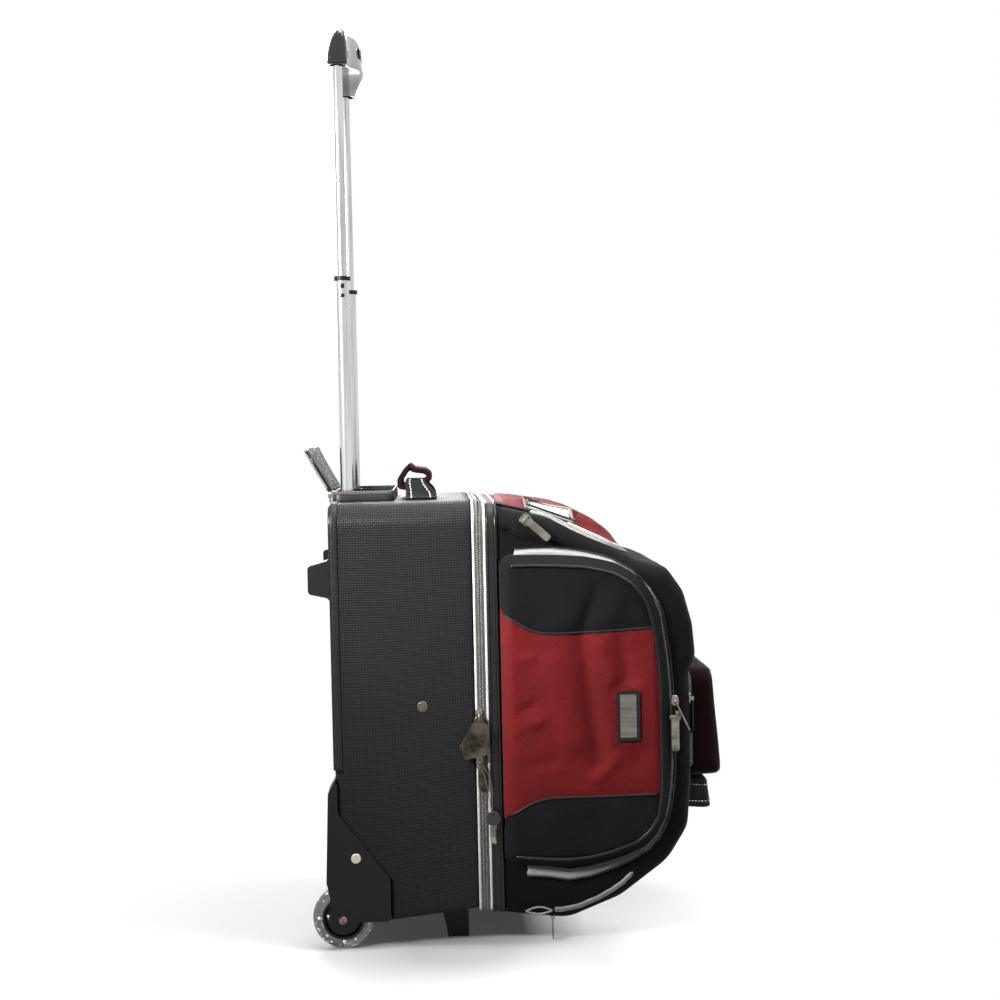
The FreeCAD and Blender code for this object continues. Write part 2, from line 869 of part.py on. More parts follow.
# The cover turns about the garage's rear edge, and stands folded back from it.
cover_hinge = vec(garage_rear - cover_roll - body_gap, 0, garage_top + garage_tape / 2)


def handle_cover():
    half = cover_width / 2
    start = cover_hinge.x + 3
    end = cover_hinge.x + cover_reach
    z0 = cover_hinge.z - cover_thickness / 2
    plan = [(start, -half, 0), (end, -half, 24), (end, half, 24), (start, half, 0)]
    tray = prism_z(plan, z0, z0 + cover_thickness)
    hollow = prism_z(inset(plan, wall), z0 - margin, z0 + cover_thickness - wall)
    cover = tray.cut(hollow)
    roll = rod(cover_roll, vec(cover_hinge.x, -half, cover_hinge.z), axis_y, cover_width)
    leaf = block(cover_hinge.x, start + wall, -half, half, cover_hinge.z - 1,
                 cover_hinge.z + 1)
    cover = joined(cover, leaf, roll)
    cover.rotate(cover_hinge, axis_y, -cover_fold)
    return cover


def top_handle_strap():
    thick = webbing_thickness
    low = body_top
    high = body_top + top_handle_rise
    side = [(-top_handle_end_y, low, 0), (-top_handle_foot_y, low, 20),
            (-top_handle_bend_y, high, 20), (top_handle_bend_y, high, 20),
            (top_handle_foot_y, low, 20), (top_handle_end_y, low, 0),
            (top_handle_end_y, low + thick, 0),
            (top_handle_foot_y - thick / 2, low + thick, 17),
            (top_handle_bend_y - thick / 2, high + thick, 23),
            (-top_handle_bend_y + thick / 2, high + thick, 23),
            (-top_handle_foot_y + thick / 2, low + thick, 17),
            (-top_handle_end_y, low + thick, 0)]
    half = webbing_width / 2
    return prism_x(side, top_handle_x - half, top_handle_x + half)


def top_handle_grip():
    mid_z = body_top + top_handle_rise + webbing_thickness / 2
    half_x = top_grip_depth / 2
    half_z = top_grip_height / 2
    ring = [(top_handle_x - half_x, mid_z - half_z / 2, 12),
            (top_handle_x, mid_z - half_z / 2 - 3, 60),
            (top_handle_x + half_x, mid_z - half_z / 2, 12),
            (top_handle_x + half_x, mid_z + half_z, 12),
            (top_handle_x - half_x, mid_z + half_z, 12)]
    half = top_grip_length / 2
    return prism_y(ring, -half, half).cut(top_handle_strap())


# ---- Main zipper, hinge and lid ----

def zipper_band(x0, x1):
    outside = section(half_width, lid_base + 2, body_top, shoulder_radius, 3)
    band = prism_x(outside, x0, x1)
    return band.cut(prism_x(inset(outside, wall), x0 - margin, x1 + margin))


def rear_zipper_tape():
    return zipper_band(rim_x, rim_x + tape_width)


def front_zipper_tape():
    return zipper_band(rim_x + tape_width + body_gap, lid_rear)


hinge_y = half_width + hinge_out


# A piped fabric hinge down the bag's left side: a strip on the shell, rolled at the split.
def lid_hinge_strip():
    low = lid_base + hinge_end_gap
    high = body_top - hinge_end_gap
    strip = block(rim_x - 2 * tape_width, split_x, half_width, half_width + 1, low, high)
    roll = rod(hinge_radius, vec(split_x, hinge_y, low), axis_z, high - low)
    return joined(strip, roll)


# The lid's side outline: a flat base, a front rounded out from it, and a sloping top.
lid_side = [(lid_rear, lid_base, 0),
            (lid_rear + base_bend_from_rear, lid_base + base_bend_rise, 40),
            (lid_front - lid_heel_in, lid_base + lid_heel_rise, 60),
            (lid_front - lid_toe_in, lid_base + lid_toe_rise, 50),
            (lid_front - lid_shin_in, lid_base + lid_shin_rise, 30),
            (lid_front, lid_base + lid_face_rise, 20), (lid_front, lid_top - lid_face_drop, 60),
            (lid_front - lid_brow_in, lid_top - lid_brow_drop, 30),
            (lid_front - lid_temple_in, lid_top - lid_temple_drop, 25),
            (lid_front - lid_corner_in, lid_top - lid_corner_drop, 40),
            (lid_front - lid_slope_in, lid_top - lid_slope_drop, 40),
            (lid_front - lid_crown_in, lid_top - lid_crown_drop, 80),
            (lid_rear + lid_brim_in, lid_top - lid_brim_drop, 30), (lid_rear, lid_top, 0)]


def open_behind(corners, start, depth):
    return [(start - margin if u < start + depth else u, v, radius)
            for u, v, radius in corners]


def lid_outside():
    solid = prism_y(lid_side, -half_width, half_width)
    return solid.common(prism_x(section(half_width, 0, lid_top + 2, shoulder_radius, 0),
                                lid_rear, lid_front))


def lid_shell():
    half = half_width
    outside = lid_outside()
    inside = prism_y(open_behind(inset(lid_side, wall), lid_rear, wall + margin),
                     -half + wall, half - wall)
    inner_section = section(half - wall, 0, lid_top + 2 - wall, shoulder_radius - wall, 0)
    inside = inside.common(prism_x(inner_section, lid_rear - margin, lid_front))
    return outside.cut(inside)


# ---- Side pockets: shallow pans that swing on their rear edge ----

def side_pocket_outline(amount):
    rear = pocket_hinge_x + body_gap + amount
    front = pocket_hinge_x + side_pocket_length - amount
    low = side_pocket_base + amount
    top = side_pocket_top - amount
    return [(rear, low, 12), (front, low, 80 - amount), (front, top - 20, 75 - amount),
            (rear, top, 12)]


def side_pocket():
    near = -half_width - body_gap
    far = -pocket_outer_y
    thin = side_pocket_wall
    pan = taper_y(side_pocket_outline(0), near, side_pocket_outline(side_pocket_taper), far)
    hollow = taper_y(side_pocket_outline(thin), near + 0.01,
                     side_pocket_outline(side_pocket_taper + thin), far + thin)
    return pan.cut(hollow)


badge_x = pocket_hinge_x + side_pocket_length - badge_from_front - badge_width


def badge_frame():
    low = badge_mid_z - badge_height / 2
    top = badge_mid_z + badge_height / 2
    plan = [(badge_x, low, 3), (badge_x + badge_width, low, 3),
            (badge_x + badge_width, top, 3), (badge_x, top, 3)]
    frame = prism_y(plan, -pocket_outer_y - badge_thickness, -pocket_outer_y)
    recess = prism_y(inset(plan, badge_rim), -pocket_outer_y - badge_thickness,
                     -pocket_outer_y - badge_thickness / 2)
    return frame.cut(recess)


def badge_face():
    low = badge_mid_z - badge_height / 2
    top = badge_mid_z + badge_height / 2
    plan = [(badge_x, low, 3), (badge_x + badge_width, low, 3),
            (badge_x + badge_width, top, 3), (badge_x, top, 3)]
    return prism_y(inset(plan, badge_rim), -pocket_outer_y - badge_thickness * 0.8,
                   -pocket_outer_y - badge_thickness / 2)


# ---- Front pocket: hinged along its base ----

def front_pocket():
    low = front_pocket_base
    top = front_pocket_top
    rear = lid_front + body_gap
    front = rear + front_pocket_depth
    side = [(rear, low, 0), (rear + 6, low, 4), (front, low + 14, 14), (front, low + 60, 60),
            (front - 8, top - 2, 8), (rear, top, 2)]
    half = front_pocket_width / 2
    inside = prism_y(open_behind(inset(side, side_pocket_wall), rear, side_pocket_wall + 1),
                     -half + side_pocket_wall, half - side_pocket_wall)
    return prism_y(side, -half, half).cut(inside)


# ---- Top pocket: a crested flap that lifts about its rear edge ----

top_hinge_x = lid_rear + top_pocket_behind
crest = [(lid_rear + crest_rear_in, lid_top + crest_rear_rise),
         (lid_rear + crest_bend_in, lid_top + crest_bend_rise),
         (lid_rear + crest_slope_in, lid_top - crest_slope_drop),
         (lid_rear + crest_nose_in, lid_top - crest_nose_drop),
         (lid_rear + crest_lip_in, lid_top - crest_lip_drop)]


# Height of the lid's top along its side outline.
def lid_height(x):
    line = sorted((u, v) for u, v, radius in lid_side if v > front_pocket_top)
    for (x0, z0), (x1, z1) in zip(line, line[1:]):
        if x0 <= x <= x1:
            return z0 + (z1 - z0) * (x - x0) / (x1 - x0)
    return line[0][1]


# The flap's side outline, on its crest or a fixed rise above the lid, shrunk by a trim.
def flap_profile(rise, trim):
    ends = [x for x, z in crest[:-1]] + [crest[-1][0] - trim]
    tops = [z if rise is None else lid_height(x) + rise for x, z in crest]
    over = [(x, z - trim, 0) for x, z in zip(ends, tops)]
    rear = top_hinge_x + trim
    return [(rear, lid_height(rear) - 2 * wall, 0), (rear, over[0][1] - wall, 0)] + over


def flap_solid(trim):
    crest_y = top_pocket_crest_width / 2
    edge_y = top_pocket_width / 2 - trim
    middle = flap_profile(None, trim)
    edge = flap_profile(top_pocket_edge, trim)
    centre = prism_y(middle, -crest_y, crest_y)
    right = taper_y(middle, -crest_y, edge, -edge_y)
    return joined(centre, right, mirrored(right))


def top_pocket_flap():
    edge = top_pocket_width / 2 + margin
    lid_room = prism_y(inset(lid_side, -body_gap), -edge, edge)
    flap = flap_solid(0).cut(flap_solid(top_pocket_wall)).cut(lid_room)
    return max(flap.Solids, key=lambda solid: solid.Volume)


# A card window on the flap's right shoulder: a frame and the card it holds.
window_rear = lid_rear + window_from_rear
window_front = window_rear + window_length
window_low_y = top_pocket_width / 2 - window_from_edge
window_high_y = window_low_y - window_depth


def shoulder_line(y, low, high, x0, x1):
    share = (y - top_pocket_crest_width / 2) / (top_pocket_width - top_pocket_crest_width) * 2
    (ax, az), (bx, bz) = crest[1], crest[2]
    points = []
    for x in (x0, x1):
        along = (x - ax) / (bx - ax)
        high_z = az + (bz - az) * along
        edge_a = lid_height(ax) + top_pocket_edge
        edge_b = lid_height(bx) + top_pocket_edge
        edge_z = edge_a + (edge_b - edge_a) * along
        points.append((x, high_z + (edge_z - high_z) * share))
    (xa, za), (xb, zb) = points
    return [(xa, za + low, 0), (xb, zb + low, 0), (xb, zb + high, 0), (xa, za + high, 0)]


def shoulder_plate(border, low, high):
    x0 = window_rear + border
    x1 = window_front - border
    y0 = window_high_y + border
    y1 = window_low_y - border
    return taper_y(shoulder_line(y0, low, high, x0, x1), -y0,
                   shoulder_line(y1, low, high, x0, x1), -y1)


def id_window_frame():
    full = shoulder_plate(0, window_seat_gap, window_frame_thickness)
    return full.cut(shoulder_plate(window_border, -margin, window_frame_thickness + margin))


def id_card():
    return shoulder_plate(window_border, window_seat_gap, window_frame_thickness / 2)


# ---- Webbing handle on the lid's front ----

def front_handle():
    half = front_handle_width / 2
    face = lid_front - 12
    out = lid_front + front_handle_standoff
    thin = webbing_thickness
    foot = half - front_handle_foot
    bend = half - front_handle_bend
    inner = half - front_handle_inner_bend
    plan = [(face, -half, 0), (lid_front + 2, -half, 4), (out, -bend, 14),
            (out, bend, 14), (lid_front + 2, half, 4), (face, half, 0),
            (face, foot, 0), (lid_front, foot, 4), (out - thin, inner, 11),
            (out - thin, -inner, 11), (lid_front, -foot, 4), (face, -foot, 0)]
    strap = prism_z(plan, front_handle_base, front_handle_top)
    return strap.cut(prism_y(lid_side, -half_width, half_width))


# ---- Zipper sliders and their pulls ----

# A pull hangs from its pivot along a direction, with a sleeve across it round the
# slider's pin; back is the side that faces the zipper.
def pull(pivot, hang, across, back, length):
    half = pull_width / 2
    sleeve = rod(pull_sleeve_radius, pivot - across * half, across, pull_width)
    flat = back * (pull_thickness / 2)
    plan = [(-half, 0, 0), (half, 0, 0), (half, length, 3), (-half, length, 3)]
    face = Part.Face(outline(plan, lambda u, v: pivot + across * u + hang * v + flat))
    plate = face.extrude(back * -pull_thickness)
    bore = rod(pull_pin_radius + pull_pin_gap, pivot - across * pull_width, across,
               2 * pull_width)
    return joined(sleeve, plate).cut(bore)


def slider(pivot, hang, across, back):
    half = pull_width / 2 + running_gap
    reach = half + slider_cheek
    pin = rod(pull_pin_radius, pivot - across * reach, across, 2 * reach)
    pieces = [pin]
    for side in (-1, 1):
        inner = across * (side * half)
        outer = across * (side * reach)
        width = hang * pull_sleeve_radius
        corners = [pivot + inner - width, pivot + outer - width, pivot + outer + width,
                   pivot + inner + width, pivot + inner - width]
        start = back * -pull_pin_radius
        face = Part.Face(Part.makePolygon([corner + start for corner in corners]))
        pieces.append(face.extrude(back * (slider_height + pull_pin_radius)))
    long = slider_length / 2
    plan = [(-reach, -long, 3), (reach, -long, 3), (reach, long, 3), (-reach, long, 3)]
    seat = back * slider_height
    face = Part.Face(outline(plan, lambda u, v: pivot + across * u + hang * v + seat))
    pieces.append(face.extrude(back * -slider_plate))
    return joined(*pieces)


down = vec(0, 0, -1)
inward = axis_y
pocket_rim_x = pocket_hinge_x + side_pocket_length
side_pull_x = pocket_rim_x + slider_from_rim + pull_width / 2 + running_gap + slider_cheek
side_pull_z = badge_mid_z + side_pull_rise
side_pivot = vec(side_pull_x, -half_width - slider_height, side_pull_z)


def side_pull():
    return pull(side_pivot, down, axis_x, inward, pull_length)


def side_slider():
    return slider(side_pivot, down, axis_x, inward)


# The top pocket's slider sits on the lid's rounded shoulder, sunk a little into it, and its
# pull hangs forwards and down over the side. top_out points away from the shoulder.
shoulder_mid_y = half_width - shoulder_radius
shoulder_mid_z = lid_top + 2 - shoulder_radius
top_out_rise = top_pull_above / shoulder_radius
top_out = vec(0, -math.sqrt(1 - top_out_rise ** 2), top_out_rise)
top_seat = vec(lid_rear + top_pull_from_rear, -shoulder_mid_y, shoulder_mid_z) \
    + top_out * (shoulder_radius - top_pull_sunk)
top_down = vec(0, top_out.z * -1, top_out.y)
top_lean = math.radians(top_pull_lean)
top_hang = axis_x * math.cos(top_lean) + top_down * math.sin(top_lean)
top_across = axis_x * math.sin(top_lean) - top_down * math.cos(top_lean)
top_pivot = top_seat + top_out * slider_height


def top_pull():
    return pull(top_pivot, top_hang, top_across, top_out * -1, top_pull_length)


def top_slider():
    return slider(top_pivot, top_hang, top_across, top_out * -1).cut(lid_outside())


# The front pocket's slider, beside the pocket on the lid's front face.
front_pivot = vec(lid_front + slider_height, -front_pocket_width / 2 - front_pull_from_pocket,
                  front_pocket_top - front_pull_below_top)
front_back = vec(-1, 0, 0)


def front_pull():
    return pull(front_pivot, down, axis_y, front_back, pull_length)


def front_slider():
    return slider(front_pivot, down, axis_y, front_back)


# The base zipper's slider, under the lid, its long pull hanging almost to the floor.
base_pull_x = lid_rear + base_pull_from_rear
base_seat_z = lid_base + base_bend_rise * base_pull_from_rear / base_bend_from_rear
base_pivot = vec(base_pull_x, -half_width + base_pull_from_side, base_seat_z - slider_height)


def base_pull():
    return pull(base_pivot, down, axis_y, axis_x, base_pull_length)


def base_slider():
    sunk = slider(base_pivot, axis_x, axis_y, axis_z)
    return sunk.cut(prism_y(lid_side, -half_width, half_width))


# The garage zipper's slider at the rear corner, its pull hanging down behind the bag.
garage_pivot = vec(garage_rear - slider_height, -cover_width / 2 - pull_width,
                   body_top + slider_length / 2 + running_gap)


def garage_pull():
    return pull(garage_pivot, down, axis_y, axis_x, pull_length - 10)


def garage_slider():
    return slider(garage_pivot, down, axis_y, axis_x)


# ---- Padlock and key on the main zipper ----

# Each slider holds a ring on a short stalk, round the shackle's or the key loop's wire.
lock_apex = vec(rim_x + tape_width / 2, -half_width - lock_standoff, lock_z)


key_apex = lock_apex - axis_z * key_below


def main_sliders():
    x = lock_apex.x
    y = -half_width
    pieces = []
    for z, wire in ((lock_apex.z, shackle_wire), (key_apex.z, key_wire)):
        plate = block(x - tape_width / 2, x + tape_width / 2, y - 3, y, z - 7, z + 7)
        ring = Part.makeTorus(wire + ring_gap + ring_wire, ring_wire,
                              vec(x, lock_apex.y, z), axis_x)
        stalk = rod(ring_wire, vec(x, y, z), axis_y * -1, lock_standoff - wire - ring_gap)
        pieces.append(joined(plate, stalk, ring))
    return Part.makeCompound(pieces)


def padlock():
    turn = vec(lock_apex.x, lock_apex.y, lock_apex.z - shackle_radius)
    arch = Part.makeTorus(shackle_radius, shackle_wire, turn, axis_y)
    lower = block(turn.x - 20, turn.x + 20, turn.y - 5, turn.y + 5, turn.z - 20, turn.z)
    arch = arch.cut(lower)
    legs = [rod(shackle_wire, vec(turn.x + dx, turn.y, turn.z - shackle_drop), axis_z,
                shackle_drop) for dx in (-shackle_radius, shackle_radius)]
    body = [(lock_top_half, lock_top_drop, 2), (lock_side_in - 1, lock_brow_drop, 4),
            (lock_side_in, lock_side_drop, 4), (lock_toe_in, lock_toe_drop, 2.5),
            (-lock_heel_out, lock_heel_drop, 2.5), (-lock_eave_out, lock_eave_drop, 1.5),
            (-lock_top_half, lock_top_drop, 2)]
    plan = [(lock_apex.x + out, lock_apex.z - drop, radius) for out, drop, radius in body]
    half = lock_body_thickness / 2
    return joined(prism_y(plan, turn.y - half, turn.y + half), arch, *legs)


# The key on its wire loop, through the lower slider's ring.
def key():
    top = key_apex - axis_z * key_loop_radius
    low = top - axis_z * key_loop_drop
    arch = Part.makeTorus(key_loop_radius, key_wire, top, axis_y)
    foot_arch = Part.makeTorus(key_loop_radius, key_wire, low, axis_y)
    lower = block(top.x - 20, top.x + 20, top.y - 5, top.y + 5, top.z - 20, top.z)
    upper = block(low.x - 20, low.x + 20, low.y - 5, low.y + 5, low.z, low.z + 20)
    legs = [rod(key_wire, low + axis_x * dx, axis_z, key_loop_drop)
            for dx in (-key_loop_radius, key_loop_radius)]
    loop = joined(arch.cut(lower), foot_arch.cut(upper), *legs)
    centre = low - axis_z * (key_loop_radius + key_head_radius - key_head_hole - 2)
    face_y = centre - axis_y * (key_thickness / 2)
    head = rod(key_head_radius, face_y, axis_y, key_thickness)
    blade_top = centre.z - key_head_radius + 2
    blade = prism_y([(centre.x - 4, blade_top, 0), (centre.x + 4, blade_top, 0),
                     (centre.x + 4, blade_top - 6, 0), (centre.x + 1.5, blade_top - 9, 0),
                     (centre.x + 3.5, blade_top - 13, 0), (centre.x + 1.5, blade_top - 16, 0),
                     (centre.x + 3.5, blade_top - 20, 0), (centre.x, blade_top - 23, 0),
                     (centre.x - 3, blade_top - 20, 0), (centre.x - 3, blade_top - 8, 0)],
                    face_y.y, face_y.y + key_thickness)
    hole = rod(key_head_hole, low - axis_z * key_loop_radius - axis_y * 5, axis_y, 10)
    return Part.makeCompound([loop, joined(head, blade).cut(hole)])


# ---- Write one file for each piece ----

def write(name, shape):
    shape.exportStep("parts/" + name + ".step")


os.makedirs("parts", exist_ok=True)

write("rear_shell", rear_shell())
write("back_liner", back_liner())
write("ball_cup_lower", ball_cup(cup_lower_z, 0))
write("ball_cup_upper", ball_cup(cup_upper_z, shoulder_radius - wall))
write("cup_divider", cup_divider())
write("shell_fasteners", together(guard_rivets(), side_rivets(), foot_and_bumper_screws()))
write("shell_sliders", together(main_sliders(), garage_slider()))
write("lid_sliders", together(top_slider(), front_slider(), base_slider()))
write("lower_tube_fittings", together(pair(lower_tube_collar()), pair(lower_tube_plug())))

sided = {"wheel_guard": wheel_guard, "wheel_hub": wheel_hub, "tyre": tyre,
         "bearings": bearings, "side_pocket": side_pocket, "side_slider": side_slider,
         "side_pull": side_pull}
for name, make in sided.items():
    write(name + "_right", make())
    write(name + "_left", mirrored(make()))

paired = {"axles": axle, "axle_spacers": axle_spacers, "feet": foot, "bumpers": bumper,
          "outer_tubes": outer_tube, "outer_tube_bushes": outer_tube_bush,
          "lower_tubes": lower_tube, "upper_tubes": upper_tube,
          "upper_tube_plugs": upper_tube_plug}
for name, make in paired.items():
    write(name, pair(make()))

single = {"tube_base": tube_base, "grip_body": grip_body, "grip_insert": grip_insert,
          "release_button": release_button, "release_link": release_link,
          "button_spring": button_spring, "garage_wall": garage_wall,
          "garage_zipper": garage_zipper, "handle_cover": handle_cover,
          "top_handle_strap": top_handle_strap, "top_handle_grip": top_handle_grip,
          "rear_zipper_tape": rear_zipper_tape, "front_zipper_tape": front_zipper_tape,
          "lid_hinge_strip": lid_hinge_strip, "lid_shell": lid_shell,
          "front_pocket": front_pocket, "front_handle": front_handle,
          "top_pocket_flap": top_pocket_flap, "id_window_frame": id_window_frame,
          "id_card": id_card, "badge_frame": badge_frame, "badge_face": badge_face,
          "top_pull": top_pull, "front_pull": front_pull, "base_pull": base_pull,
          "garage_pull": garage_pull, "padlock": padlock, "key": key}
for name, make in single.items():
    write(name, make())
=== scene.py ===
import math

import bmesh
import bpy
import numpy as np
from mathutils import Matrix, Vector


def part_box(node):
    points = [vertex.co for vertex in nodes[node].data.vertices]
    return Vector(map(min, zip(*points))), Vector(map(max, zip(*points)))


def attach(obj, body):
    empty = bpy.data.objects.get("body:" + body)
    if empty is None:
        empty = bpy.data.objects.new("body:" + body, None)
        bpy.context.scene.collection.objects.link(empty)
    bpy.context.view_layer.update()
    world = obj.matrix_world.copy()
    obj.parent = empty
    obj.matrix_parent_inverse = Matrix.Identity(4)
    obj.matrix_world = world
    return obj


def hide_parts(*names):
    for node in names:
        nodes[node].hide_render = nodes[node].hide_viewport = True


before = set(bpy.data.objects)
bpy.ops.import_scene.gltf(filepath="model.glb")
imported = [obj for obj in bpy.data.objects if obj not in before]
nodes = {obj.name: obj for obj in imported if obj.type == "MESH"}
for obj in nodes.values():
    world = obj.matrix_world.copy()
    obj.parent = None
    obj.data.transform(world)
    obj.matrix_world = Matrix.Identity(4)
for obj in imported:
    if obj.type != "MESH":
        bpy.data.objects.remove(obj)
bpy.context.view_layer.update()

print("frame loaded:", len(nodes), "nodes")


def nodeBox(name):  # a node's lowest and highest corners in millimetres
    low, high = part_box(name)
    return np.array(low) * 1000, np.array(high) * 1000


def linear(hexColour):  # sRGB hex to the linear colour that shaders want
    channels = [int(hexColour[i:i + 2], 16) / 255 for i in (1, 3, 5)]
    return [c / 12.92 if c <= 0.04045 else ((c + 0.055) / 1.055) ** 2.4
            for c in channels] + [1.0]


def linked(name, data):  # a new object in the scene
    made = bpy.data.objects.new(name, data)
    bpy.context.scene.collection.objects.link(made)
    return made


def addNode(tree, kind, settings=None, links=None):  # one node with its settings and links
    made = tree.nodes.new(kind)
    for key, value in (settings or {}).items():
        if hasattr(made, str(key)):
            setattr(made, key, value)
        else:
            made.inputs[key].default_value = value
    for key, source in (links or {}).items():
        tree.links.new(source, made.inputs[key])
    return made


def emptyTree(owner):  # the cleared node tree of a material or a world
    owner.use_nodes = True
    owner.node_tree.nodes.clear()
    return owner.node_tree


def newMaterial(name, **settings):
    material = bpy.data.materials.new(name)
    tree = emptyTree(material)
    shader = addNode(tree, "ShaderNodeBsdfPrincipled")
    for key, value in settings.items():
        shader.inputs[key.replace("_", " ")].default_value = value
    addNode(tree, "ShaderNodeOutputMaterial", None, {"Surface": shader.outputs[0]})
    return material, tree, shader


def vectorNode(tree, operation, vector, other=(0, 0, 0)):
    return addNode(tree, "ShaderNodeVectorMath", {"operation": operation, 1: other},
                   {0: vector}).outputs


def mathNode(tree, operation, first, second=0.0):
    made = addNode(tree, "ShaderNodeMath", {"operation": operation})
    for index, value in enumerate((first, second)):
        if isinstance(value, (int, float)):
            made.inputs[index].default_value = value
        else:
            tree.links.new(value, made.inputs[index])
    return made.outputs[0]


def spread(tree, value, fromRange, toRange):  # a value mapped from one range to another
    settings = {"From Min": fromRange[0], "From Max": fromRange[1],
                "To Min": toRange[0], "To Max": toRange[1]}
    return addNode(tree, "ShaderNodeMapRange", settings, {"Value": value}).outputs[0]


def colourBetween(tree, factor, first, second):
    made = addNode(tree, "ShaderNodeMix", {"data_type": "RGBA"})
    tree.links.new(factor, made.inputs[0])
    for index, value in ((6, first), (7, second)):
        if isinstance(value, list):
            made.inputs[index].default_value = value
        else:
            tree.links.new(value, made.inputs[index])
    return made.outputs[2]


def cloudy(tree, coords, size, detail=3.0):  # soft noise whose blotches are about size metres
    settings = {"Scale": 1 / size, "Detail": detail, "Roughness": 0.55}
    return addNode(tree, "ShaderNodeTexNoise", settings, {"Vector": coords}).outputs[0]


def ridges(tree, axis, pitch):  # a smooth ridge every pitch metres, from 0 to 1
    sine = mathNode(tree, "SINE", mathNode(tree, "MULTIPLY", axis, 2 * math.pi / pitch))
    return spread(tree, sine, (-1, 1), (0, 1))


def relief(tree, shader, height, depth):  # depth in metres
    made = addNode(tree, "ShaderNodeBump", {"Distance": depth}, {"Height": height})
    tree.links.new(made.outputs[0], shader.inputs["Normal"])


def coordinates(tree, kind="Object"):
    return addNode(tree, "ShaderNodeTexCoord").outputs[kind]


def axesOf(tree, vector):
    return addNode(tree, "ShaderNodeSeparateXYZ", None, {"Vector": vector}).outputs


def product(tree, first, second):
    return mathNode(tree, "MULTIPLY", first, second)


def colourBy(tree, shader, factor, first, second):  # the base colour, from first to second
    tree.links.new(colourBetween(tree, factor, first, second), shader.inputs["Base Color"])


def roughBy(tree, shader, value, fromRange, toRange):
    tree.links.new(spread(tree, value, fromRange, toRange), shader.inputs["Roughness"])


def seenRays(tree):  # 1 for rays that show a surface to the camera, straight or by a mirror
    path = addNode(tree, "ShaderNodeLightPath").outputs
    mirrored = mathNode(tree, "MAXIMUM", path["Is Glossy Ray"], path["Is Transmission Ray"])
    return mathNode(tree, "MAXIMUM", path["Is Camera Ray"], mirrored)


def wovenCloth(name, deep, pale, thread, roughness=0.62, sheen=0.03, depth=0.0002, blotch=0.05):
    # A plain weave: two sets of yarn cross, so the light catches a grid of small bumps, and
    # the dye is a little uneven over a hand's breadth. thread is the yarn spacing in metres.
    material, tree, shader = newMaterial(name, Roughness=roughness, Sheen_Weight=sheen,
                                         Sheen_Roughness=0.5, Specular_IOR_Level=0.04)
    uv = coordinates(tree, "UV")
    warp, weft = (ridges(tree, axis, thread) for axis in axesOf(tree, uv)[:2])
    over = mathNode(tree, "MAXIMUM", product(tree, warp, 0.8), weft)
    marks = mathNode(tree, "ADD", cloudy(tree, uv, blotch), cloudy(tree, uv, thread * 2.5, 1.0))
    shade = mathNode(tree, "ADD", product(tree, over, 0.45), product(tree, marks, 0.42))
    tone = spread(tree, shade, (0.25, 1.0), (0, 1))
    colourBy(tree, shader, tone, linear(deep), linear(pale))
    relief(tree, shader, mathNode(tree, "ADD", over, product(tree, warp, weft)), depth)
    return material


def grainedVinyl(name, colour, lift, pitch=0.0024, roughness=0.36, depth=0.0003):
    # Calendered vinyl with a basket grain pressed in: small square pads that turn by a
    # quarter from one to the next, shinier on top than in the grooves.
    material, tree, shader = newMaterial(name, Specular_IOR_Level=0.09)
    uv = coordinates(tree, "UV")
    across, along = (ridges(tree, axis, pitch) for axis in axesOf(tree, uv)[:2])
    check = addNode(tree, "ShaderNodeTexChecker", {"Scale": 1 / pitch},
                    {"Vector": uv}).outputs["Fac"]
    pads = mathNode(tree, "ADD", product(tree, across, check),
                    product(tree, along, mathNode(tree, "SUBTRACT", 1.0, check)))
    tone = spread(tree, product(tree, across, along), (0.15, 0.9), (0, 1))
    colourBy(tree, shader, tone, linear(colour), linear(lift))
    roughBy(tree, shader, mathNode(tree, "ADD", pads, cloudy(tree, uv, 0.06)), (0.3, 1.7),
            (roughness + 0.1, roughness - 0.08))
    relief(tree, shader, pads, depth)
    return material


def smoothVinyl(name, colour, roughness=0.22):
    # Extruded vinyl piping and binding: smooth, wet-looking, with faint waviness.
    material, tree, shader = newMaterial(name, Specular_IOR_Level=0.3)
    coords = coordinates(tree)
    shader.inputs["Base Color"].default_value = linear(colour)
    roughBy(tree, shader, cloudy(tree, coords, 0.012), (0.3, 0.7), (roughness, roughness + 0.14))
    relief(tree, shader, cloudy(tree, coords, 0.004), 0.0002)
    return material


def moulded(name, colour, roughness=0.5, grain=0.0012, depth=0.0001, **settings):
    # Injection-moulded plastic or rubber with a spark-eroded texture: fine even grain,
    # a little shinier where hands and floors have rubbed it.
    material, tree, shader = newMaterial(name, **settings)
    coords = coordinates(tree)
    rub = cloudy(tree, coords, 0.03)
    base = linear(colour)
    lighter = [min(1.0, c * 1.5 + 0.002) for c in base[:3]] + [1.0]
    colourBy(tree, shader, rub, base, lighter)
    roughBy(tree, shader, rub, (0.3, 0.7), (roughness + 0.07, roughness - 0.07))
    relief(tree, shader, cloudy(tree, coords, grain, 1.0), depth)
    return material


def plainMetal(name, colour, roughness, tarnish, brushed=None, patch=0.012):
    # Plated, polished or cast metal: bright, with faint handling marks, brushed along one
    # axis where asked, and browned or greyed in patches where it has tarnished.
    material, tree, shader = newMaterial(name, Metallic=1.0)
    coords = coordinates(tree)
    if brushed:
        stretch = addNode(tree, "ShaderNodeMapping", {"Scale": brushed}, {"Vector": coords})
        marks = cloudy(tree, stretch.outputs[0], 0.004, 4.0)
    else:
        marks = cloudy(tree, coords, patch, 5.0)
    edge = spread(tree, marks, (0.38, 0.66), (0, 1))
    colourBy(tree, shader, edge, linear(colour), linear(tarnish))
    roughBy(tree, shader, marks, (0.3, 0.7), (roughness * 0.8, roughness * 1.35))
    relief(tree, shader, marks, 0.00005)
    return material


